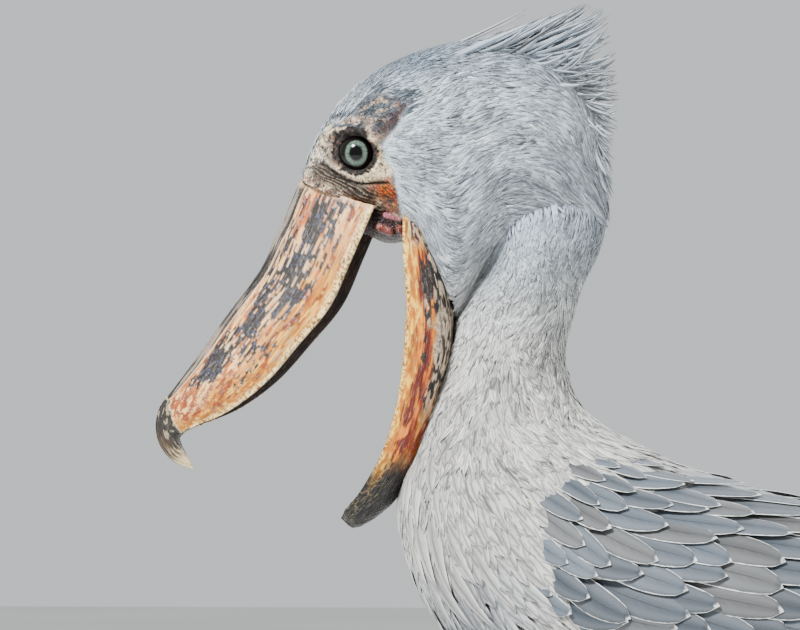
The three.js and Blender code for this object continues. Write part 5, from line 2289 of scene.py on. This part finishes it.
class UpperBill(BillHalf):
    """The upper bill: a grooved ridge, blotched flanks, a crusty rim and a hooked nail."""

    form = UPPER_BILL
    node = "upper_bill"
    size = (340, 96, 24)
    groove = 0.07

    def nail(self, flow: Array, far: Array, deep: Array) -> Array:
        """How much a place belongs to the nail: past a slanting, crusty line near the hook."""
        ragged = (LUMPS.at(flow, (9.0, 5.0, 5.0)) - 0.5) * 0.06
        return ramp(-0.012, 0.012, far - (0.545 + 0.12 * np.minimum(deep, 1.0) + ragged))

    def nostril(self, far: Array, deep: Array) -> Array:
        """How much a place belongs to the slit at the groove's upper end."""
        return bump(far, 0.075, 0.024) * bump(deep, self.groove + 0.012, 0.02)

    def relief(self, flow: Array, far: Array, round_: Array, deep: Array) -> Array:
        """Height over the form: the groove, the rim's crust, long ridges and pits.

        Args:
            flow: Millimetres along, across and down.
            far: Shares along.
            round_: Places round.
            deep: Shares from the top line down.

        Returns:
            Millimetres.
        """
        nail = self.nail(flow, far, deep)
        groove = bump(deep, self.groove + 0.01, 0.014) * -1.6 * ramp(0.62, 0.45, far)
        crust = ramp(0.9, 0.97, deep)
        pits = LUMPS.at(flow, (3.0, 1.6, 1.6), 3) - 0.5
        ridges = LUMPS.at(flow, (40.0, 2.6, 2.6), 2) - 0.5
        lump = LUMPS.at(flow, (20.0, 9.0, 9.0), 2) - 0.5
        edge = bump(nail, 0.5, 0.4) * 0.5 - 2.2 * self.nostril(far, deep)
        outer = round_ <= 1.0
        return outer * (
            groove + crust * (0.2 + 1.0 * pits) + ridges * 1.0 + pits * 0.5 + lump * 1.2 + edge
        )

    def colour(self, flow: Array, far: Array, round_: Array, deep: Array) -> Array:
        """Paints from the ground up: cream and pink, ochre, rust, slate, crust and nail, with a
        painted highlight under the groove and painted shade in the groove, the nostril and inside.

        Args:
            flow: Millimetres along, across and down.
            far: Shares along.
            round_: Places round.
            deep: Shares from the top line down.

        Returns:
            Linear colours.
        """
        wave = LUMPS.at(flow, (46.0, 12.0, 12.0), 2) - 0.5
        fibre = ranks(LUMPS.at(flow + 50.0, (24.0, 1.5, 1.5), 3))
        thread = ranks(LUMPS.at(flow + 120.0, (11.0, 1.0, 1.0), 2))
        island = LUMPS.at(flow + 200.0, (22.0, 8.0, 8.0), 2)
        fleck = LUMPS.at(flow + 300.0, (8.0, 1.8, 1.8), 3)
        grain = ranks(LUMPS.at(flow + 400.0, 1.2, 2))
        tone = paint("e8cda8", "b27a52", ramp(0.35, 0.9, fibre))
        base = ramp(0.24, 0.02, far)
        tone = paint(tone, "c98e76", base * 0.4 * ramp(0.3, 0.8, thread))
        ochre = ramp(0.5, 0.75, deep + wave * 0.3) * ramp(0.02, 0.2, far)
        gold = paint("b9812b", "e6c68a", ramp(0.35, 0.85, fibre))
        tone = paint(tone, gold, ochre * 0.9)
        reds = 0.12 + 0.2 * bump(far, 0.32, 0.12) + 0.32 * bump(far, 0.52, 0.06)
        reds = reds * ramp(0.98, 0.7, deep) + 0.1 * bump(far, 0.1, 0.1)
        rust = patches(ranks(fleck * 0.5 + LUMPS.at(flow + 500.0, (16.0, 2.2, 2.2), 3) * 0.5), reds, 0.05)
        tone = paint(tone, paint("6e2c17", "b5653c", thread), rust * 0.85)
        middle = np.interp(far, [0.0, 0.17, 0.3, 0.41, 0.5], [0.5, 0.45, 0.36, 0.3, 0.3])
        belt = bump(deep, middle, np.interp(far, [0.0, 0.2, 0.45], [0.34, 0.26, 0.17]))
        dense = 0.54 + 0.32 * bump(far, 0.15, 0.09) + 0.42 * bump(far, 0.405, 0.055)
        dense = (dense - 0.12 * bump(far, 0.29, 0.04)) * ramp(0.54, 0.47, far) * belt
        dense = dense + 0.13 * ramp(0.52, 0.4, far) * (deep < 0.8)
        rank = ranks(ranks(island) * 0.3 + ranks(fleck) * 0.42 + thread * 0.28)
        slate = patches(rank, dense * (deep > self.groove + 0.02), 0.025)
        ink = paint("0c1524", "4c607e", ramp(0.62, 1.0, grain))
        pale = patches(rank, dense + 0.1, 0.05) * (1 - slate) * (deep > self.groove + 0.02)
        tone = paint(tone, paint("9aa6b0", "e8dccb", thread), pale * 0.5)
        tone = paint(tone, ink, slate * 0.95)
        crown = ramp(self.groove + 0.012, self.groove - 0.004, deep)
        ridge = paint("26282e", "a39c94", ramp(0.55, 0.95, fibre))
        tone = paint(tone, ridge, crown)
        # Painted highlight on the edge just under the groove.
        lit = bump(deep, self.groove + 0.045, 0.02) * ramp(0.6, 0.5, far)
        tone = paint(tone, "efdcc2", lit * 0.75)
        # Painted shade in the sunk groove and the nostril slit.
        cut = bump(deep, self.groove + 0.012, 0.012) * ramp(0.36, 0.2, far)
        tone = paint(tone, "100f12", np.maximum(cut, self.nostril(far, deep)))
        crust = ramp(0.9, 0.975, deep + (grain - 0.5) * 0.06 + wave * 0.05)
        worn = paint("7d6639", "f2e6c4", ramp(0.15, 0.5, grain))
        tone = paint(tone, worn, crust * 0.85)
        start = ramp(0.012, 0.004, far + (grain - 0.5) * 0.006)
        tone = paint(tone, "e4cdb4", start * 0.7)
        nail = self.nail(flow, far, deep)
        dark = paint("0c0e12", "a8a294", ramp(0.76, 0.92, ranks(fleck)))
        tip = ramp(0.78, 0.93, far + (fibre - 0.5) * 0.12)
        horny = paint(dark, "d8ccb2", tip)
        amber = bump(far, 0.8, 0.07) * ramp(0.9, 0.3, deep)
        horny = paint(horny, "6a4a2a", amber * 0.4)
        tone = paint(tone, horny, nail)
        tone = paint(tone, "e8dcc0", bump(nail, 0.5, 0.3) * 0.8 * (round_ < 1))
        # Painted shade: the inside of the upper bill, which faces down, is painted dark brown to near
        # black.
        inner = ramp(1.02, 1.2, round_)
        roof_shade = paint("1d1613", "4b3327", fibre)
        return deepened(paint(tone, roof_shade, inner * (1 - nail)))


class LowerBill(BillHalf):
    """The lower bill: ochre along its edge, rust and black behind, and a dark tip."""

    form = LOWER_BILL
    node = "lower_bill"
    size = (310, 90, 30)
    start = 700.0

    def relief(self, flow: Array, far: Array, round_: Array, deep: Array) -> Array:
        """Height over the form: the rim's crust, long ridges and pits.

        Args:
            flow: Millimetres along, across and down.
            far: Shares along.
            round_: Places round.
            deep: Shares from the top line down.

        Returns:
            Millimetres.
        """
        pits = LUMPS.at(flow, (3.0, 1.6, 1.6), 3) - 0.5
        ridges = LUMPS.at(flow, (34.0, 2.8, 2.8), 2) - 0.5
        lump = LUMPS.at(flow, (14.0, 7.0, 7.0), 2) - 0.5
        crust = ramp(0.9, 0.98, 1.0 - deep)
        return (round_ <= 1.0) * (ridges * 1.0 + pits * 0.7 + lump * 1.6 + crust * 0.9 * pits)

    def colour(self, flow: Array, far: Array, round_: Array, deep: Array) -> Array:
        """Paints from the ground up: ochre, orange and rust, crust, black and the tip.

        Args:
            flow: Millimetres along, across and down.
            far: Shares along.
            round_: Places round.
            deep: Shares from the top line down.

        Returns:
            Linear colours.
        """
        front = 1.0 - deep
        wave = LUMPS.at(flow, (30.0, 10.0, 10.0), 2) - 0.5
        fibre = ranks(LUMPS.at(flow + 50.0, (20.0, 1.7, 1.7), 3))
        fleck = ranks(LUMPS.at(flow + 250.0, (6.0, 1.8, 1.8), 3))
        island = ranks(LUMPS.at(flow + 150.0, (20.0, 6.0, 6.0), 3))
        grain = ranks(LUMPS.at(flow + 350.0, 1.2, 2))
        sway = front + wave * 0.25
        tone = paint("9c5420", "d29a4a", ramp(0.3, 0.9, fibre))
        gold = ramp(0.58, 0.75, sway)
        yellow = paint("bf8d2a", "e8cf8c", ramp(0.4, 1.0, fleck))
        tone = paint(tone, yellow, gold * 0.9)
        rust = patches(fibre, 0.75 * bump(sway, 0.56, 0.14), 0.12)
        tone = paint(tone, "6b2713", rust * 0.8)
        skin = ramp(0.36, 0.22, sway) * ramp(0.62, 0.4, far)
        speck = paint("2f2927", "cfc4b4", ramp(0.35, 0.75, fleck))
        tone = paint(tone, speck, skin)
        black = bump(sway, 0.36, 0.13) * ramp(0.06, 0.12, far) * ramp(0.27, 0.2, far)
        spots = bump(far, 0.36, 0.035) * bump(sway, 0.42, 0.2)
        spots = spots + bump(far, 0.45, 0.03) * bump(sway, 0.33, 0.16)
        spots = spots + 0.35 * bump(far, 0.28, 0.05) * bump(sway, 0.5, 0.2)
        cover = patches(ranks(island * 0.5 + fleck * 0.5), np.maximum(black * 1.1, spots * 0.75), 0.05)
        ink = paint("110f14", "57555c", ramp(0.6, 1.0, grain))
        crusty = patches(island, 0.7 * bump(sway, 0.3, 0.2) * bump(far, 0.33, 0.09), 0.08)
        tone = paint(tone, paint("8d8377", "ddd3c4", grain), crusty * 0.85)
        tone = paint(tone, ink, cover * 0.95)
        gape = ramp(0.1, 0.02, far) * ramp(0.95, 0.7, front)
        tone = paint(tone, speck, gape * 0.85)
        edge = ramp(0.9, 0.97, front + (grain - 0.5) * 0.06 + wave * 0.06)
        worn = paint("6b5326", "eedfb4", ramp(0.2, 0.6, grain))
        tone = paint(tone, worn, edge * 0.75)
        tip = ramp(0.62, 0.74, far + wave * 0.16 + 0.06 * ramp(0.7, 0.3, front))
        veins = np.abs(LUMPS.at(flow + 450.0, (12.0, 2.6, 2.6), 2) - 0.5)
        vein = ramp(0.035, 0.0, veins) * ramp(0.3, 0.7, front)
        horny = paint("0a0808", "a89c7c", vein * 0.7)
        tone = paint(tone, horny, tip)
        inner = ramp(1.02, 1.2, round_)
        floor = paint("7c4a2c", "c98d52", fibre)
        return deepened(paint(tone, floor, inner * (1 - tip)))


def smooth_normals(points: Array, faces: Array) -> Array:
    """Directions outwards at vertices: the sum of the areas of the faces round each.

    Args:
        points: Vertices.
        faces: Triangles.

    Returns:
        One unit vector for each vertex.
    """
    a, b, c = (points[faces[:, k]] for k in range(3))
    normal = np.cross(b - a, c - a)
    total = np.zeros_like(points)
    for k in range(3):
        np.add.at(total, faces[:, k], normal)
    return unit(total)


class Mouth:
    """The moist flesh at the corner of the gape: three mauve-pink lobes, with painted shade in the fold
    round them.
    """

    LOBES = (((-216, 843), (-207, 841)), ((-221, 834), (-214, 831)), ((-207, 833), (-204, 829)))

    def build(self, material: Material) -> None:
        """Makes the gape's form; each lobe swells by 2.4 e^-(d/3.3)^2 round its own line.

        Args:
            material: Its finish.
        """
        points, faces = GAPE.grid(120, 200)
        seen = points[:, [0, 2]]
        far = np.min([distance_to(seen, lobe) for lobe in self.LOBES], axis=0)
        swell = hump(far, 3.3)
        fine = LUMPS.at(points, 2.0, 3)
        points = points + smooth_normals(points, faces) * (swell * 2.4 + (fine - 0.5) * 0.8 - 1.0)[:, None]
        pink = paint("925a52", "a98088", ramp(834, 843, seen[:, 1]))
        pink = paint(pink, "dcb9b4", ramp(0.5, 0.62, fine) * 0.5)
        # Painted shade: the flesh between the lobes darkens to near black as the swell falls.
        tint = deepened(paint("1e0d0a", pink, ramp(0.28, 0.75, swell)))
        settle(new_mesh("gape_flesh", points, faces, material=material, tint=tint), "mouth_lining", "mouth")


@dataclass(frozen=True)
class Eyes:
    """The two eyeballs."""

    rings: int = 48
    sides: int = 64
    pole: float = 0.004

    def build(self, material: Material) -> None:
        """Makes each ball round its own axis, which points to the side.

        A point at angle a off the axis and turn b round it is the middle plus the radius
        times (sin a cos b, +-cos a, sin a sin b).

        Args:
            material: Its finish.
        """
        for side in Side:
            share, turn = ring_grid(self.rings, self.sides)
            off = mix(self.pole, np.pi - self.pole, share)
            ball = np.stack(
                [np.sin(off) * np.cos(turn), side.value * np.cos(off), np.sin(off) * np.sin(turn)], -1
            )
            centre = EYE_AT * np.array([1.0, side.value, 1.0])
            points, faces = closed_tube(centre + ball * EYE_RADIUS)
            oval = off / (np.pi / 2) * (1.0 + 0.07 * np.cos(2.0 * turn))
            iris = np.stack([oval, turn / (2 * np.pi)], -1).reshape(-1, 2)
            iris = np.vstack([iris, [0.0, 0.0], [2.0, 0.0]])
            piece = new_mesh(
                f"eyeball_{side.label}", points, faces, material=material, maps={"Iris": iris}
            )
            settle(piece, "eye", f"eye_{side.label}")


@dataclass(frozen=True)
class Leg:
    """The bare shin and tarsus and the four toes with their claws."""

    side: Side
    toes: tuple[tuple[str, float, float, float], ...] = (
        ("inner", -27.0, 112.0, 7.6), ("middle", 2.0, 152.0, 8.4),
        ("outer", 31.0, 128.0, 7.8), ("hind", 168.0, 74.0, 7.4),
    )
    front_claw: float = 24.0
    hind_claw: float = 30.0

    def build(self, scales: Material, horn: Material) -> None:
        """Makes each piece and has it stand for its node.

        Args:
            scales: The finish of shin, tarsus and toes.
            horn: The finish of the claws.
        """
        side, lean = self.side, LEAN[self.side]
        label = side.label
        shin = LimbForm([
            (x + lean, side.value * (LEG_Y if z < 320 else leg_y(z)), z, r) for x, z, r in SHIN
        ])
        foot = LimbForm([
            (x + lean, side.value * mix(LEG_Y, FOOT_Y, np.clip((240 - z) / 190, 0, 1)), z, r)
            for x, z, r in TARSUS
        ])
        for name, form in ((f"shin_{label}", shin), (f"tarsus_{label}", foot)):
            settle(new_mesh(f"{name}_scales", *form.grid(90, 40), material=scales), "scales", name)
        root = np.array([-4.0 + lean, side.value * FOOT_Y, 0.0])
        for name, turn, length, half in self.toes:
            heading = np.radians(180.0 - side.value * turn)
            run = np.array([np.cos(heading), np.sin(heading), 0.0])
            self.toe(f"toe_{name}_{label}", root, run, length, half, scales)
            reach = self.hind_claw if name == "hind" else self.front_claw
            self.claw(f"claw_{name}_{label}", root, run, length, half, reach, horn)

    def toe(
        self, name: str, root: Array, run: Array, length: float, half: float, material: Material
    ) -> None:
        """Makes a toe: a flat-bottomed tube, half * mix(1, 0.62, u) wide, with three knuckles.

        Args:
            name: Its node.
            root: Where it starts on the floor.
            run: The level direction it takes.
            length: How far it goes.
            half: Half its width at the root.
            material: Its scales.
        """
        u, angle = ring_grid(70, 32)
        wide = half * mix(1.0, 0.62, u) * (1 + 0.1 * np.cos(6 * np.pi * u))
        flat = np.array([-run[1], run[0], 0.0])
        height = wide * 1.75
        z = np.maximum(height / 2 * (1 + np.cos(angle) * 1.1) - 0.05 * height, 0.0)
        points = root + run * (length * u)[..., None] + flat * (wide * np.sin(angle))[..., None]
        points[..., 2] = np.minimum(z, height)
        settle(new_mesh(f"{name}_scales", *closed_tube(points), material=material), "scales", name)

    def claw(
        self, name: str, root: Array, run: Array, length: float, half: float, reach: float,
        material: Material,
    ) -> None:
        """Makes a claw: a cone bent gently down to the floor.

        Args:
            name: Its node.
            root: Where its toe starts on the floor.
            run: The level direction of the toe.
            length: How far the toe goes.
            half: Half the toe's width.
            reach: How far the claw goes on from there.
            material: Its horn.
        """
        u, angle = ring_grid(24, 20)
        radius = half * 0.52 * (1 - 0.9 * u)
        flat = np.array([-run[1], run[0], 0.0])
        middle = root + run * (length + reach * u)[..., None]
        middle[..., 2] = np.maximum(half * 0.95 * (1 - u**1.5), radius)
        points = middle + flat * (radius * np.sin(angle))[..., None]
        points[..., 2] += radius * np.cos(angle)
        points, faces = closed_tube(points)
        uv = np.vstack([np.stack([u, angle / (2 * np.pi)], -1).reshape(-1, 2), [0.0, 0.0], [1.0, 0.0]])
        settle(new_mesh(f"{name}_horn", points, faces, material=material, maps={"Horn": uv}), "claw", name)


@dataclass(frozen=True)
class Studio:
    """The floor, the lights and the camera at the photograph's angle."""

    azimuth: float = 5.0
    elevation: float = 0.5
    distance: float = 6.5
    width_seen: float = 0.56
    beside: float = 0.0301
    above: float = 0.1134
    sensor: float = 36.0
    lit: tuple[float, float, float] = (-0.25, 0.0, 0.75)
    reach: float = 14000.0
    marks: int = 60

    def build(self) -> None:
        """Sets the floor, the lights, the world and the camera."""
        self.floor()
        self.lights()
        self.camera()

    def floor(self) -> None:
        """A wide pale level floor, as one sheet."""
        marks = np.linspace(-self.reach, self.reach, self.marks)
        u, v = np.meshgrid(marks, marks, indexing="ij")
        points = np.stack([u, v, np.zeros_like(u)], -1).reshape(-1, 3) - SHIFT
        points[:, 2] = 0.0
        faces = sheet_faces(self.marks, self.marks)[:, ::-1]
        sheet = new_mesh("floor", points, faces, material=FloorFinish().material())

    def lights(self) -> None:
        """A large key from the upper left front, a fill and a pale world."""
        for name, at, size, watts in (
            ("key", (-1.7, -2.6, 3.5), 0.9, 560.0),
            ("fill", (2.6, -2.6, 1.4), 2.5, 60.0),
            ("rim", (1.0, 2.6, 2.4), 2.0, 110.0),
        ):
            light = bpy.data.lights.new(name, "AREA")
            light.size = size
            light.energy = watts
            lamp = linked(name, light)
            lamp.location = at
            aim = np.array(self.lit) - np.array(at)
            lamp.rotation_euler = look_along(aim)
        world = bpy.data.worlds.new("studio")
        world.use_nodes = True
        backdrop = world.node_tree.nodes["Background"]
        backdrop.inputs["Color"].default_value = (0.9, 0.92, 0.94, 1.0)
        backdrop.inputs["Strength"].default_value = 0.8
        bpy.context.scene.world = world

    def camera(self) -> None:
        """Puts the eye where the photograph has it, 30.1 mm left of and 113.4 above the aim."""
        az, el = math.radians(self.azimuth), math.radians(self.elevation)
        ahead = np.array([-math.sin(az) * math.cos(el), math.cos(az) * math.cos(el), -math.sin(el)])
        right = np.array([math.cos(az), math.sin(az), 0.0])
        up = np.cross(right, ahead)
        anchor = (np.array([EYE_AT[0], -45.0, EYE_AT[2]]) + SHIFT) / MM
        aim = anchor + right * self.beside - up * self.above
        data = bpy.data.cameras.new("camera")
        data.sensor_width = self.sensor
        data.sensor_fit = "HORIZONTAL"
        data.lens = self.sensor * self.distance / self.width_seen
        data.clip_end = 100.0
        camera = linked("camera", data)
        camera.location = aim - ahead * self.distance
        camera.rotation_euler = look_along(ahead)
        bpy.context.scene.camera = camera


def look_along(direction: Array) -> tuple[float, float, float]:
    """The turn that points a camera's or a lamp's -Z along a direction, its Y upwards."""
    x, y, z = unit(direction)
    return (math.acos(max(-1.0, min(1.0, -z))), 0.0, math.atan2(-x, y))


def main() -> None:
    """Builds every piece in order."""
    logging.basicConfig(level=logging.INFO, format="%(message)s")
    Studio().build()
    down = PlumageFinish("down").material()
    vane = VaneFinish().material()
    skin = SkinFinish("bare_skin", "6a6360").material()
    Skin().build(skin)
    FaceSkin().build(skin)
    HeadCoat().build(down)
    NeckCoat().build(down)
    BodyCoat().build(down)
    ThighCoat().build(down)
    Crest().build(down)
    BreastPlumes().build(down)
    for side in Side:
        Wing(side).build(vane)
    Tail().build(vane)
    horn = HornFinish("bill_horn").material()
    UpperBill().build(horn)
    LowerBill().build(horn)
    Mouth().build(SkinFinish("gape_skin", "7a4a4a", roughness=0.3).material())
    Eyes().build(EyeFinish().material())
    scales, claw = ScaleFinish().material(), ClawFinish().material()
    for side in Side:
        Leg(side).build(scales, claw)


if __name__ == "__main__":
    main()
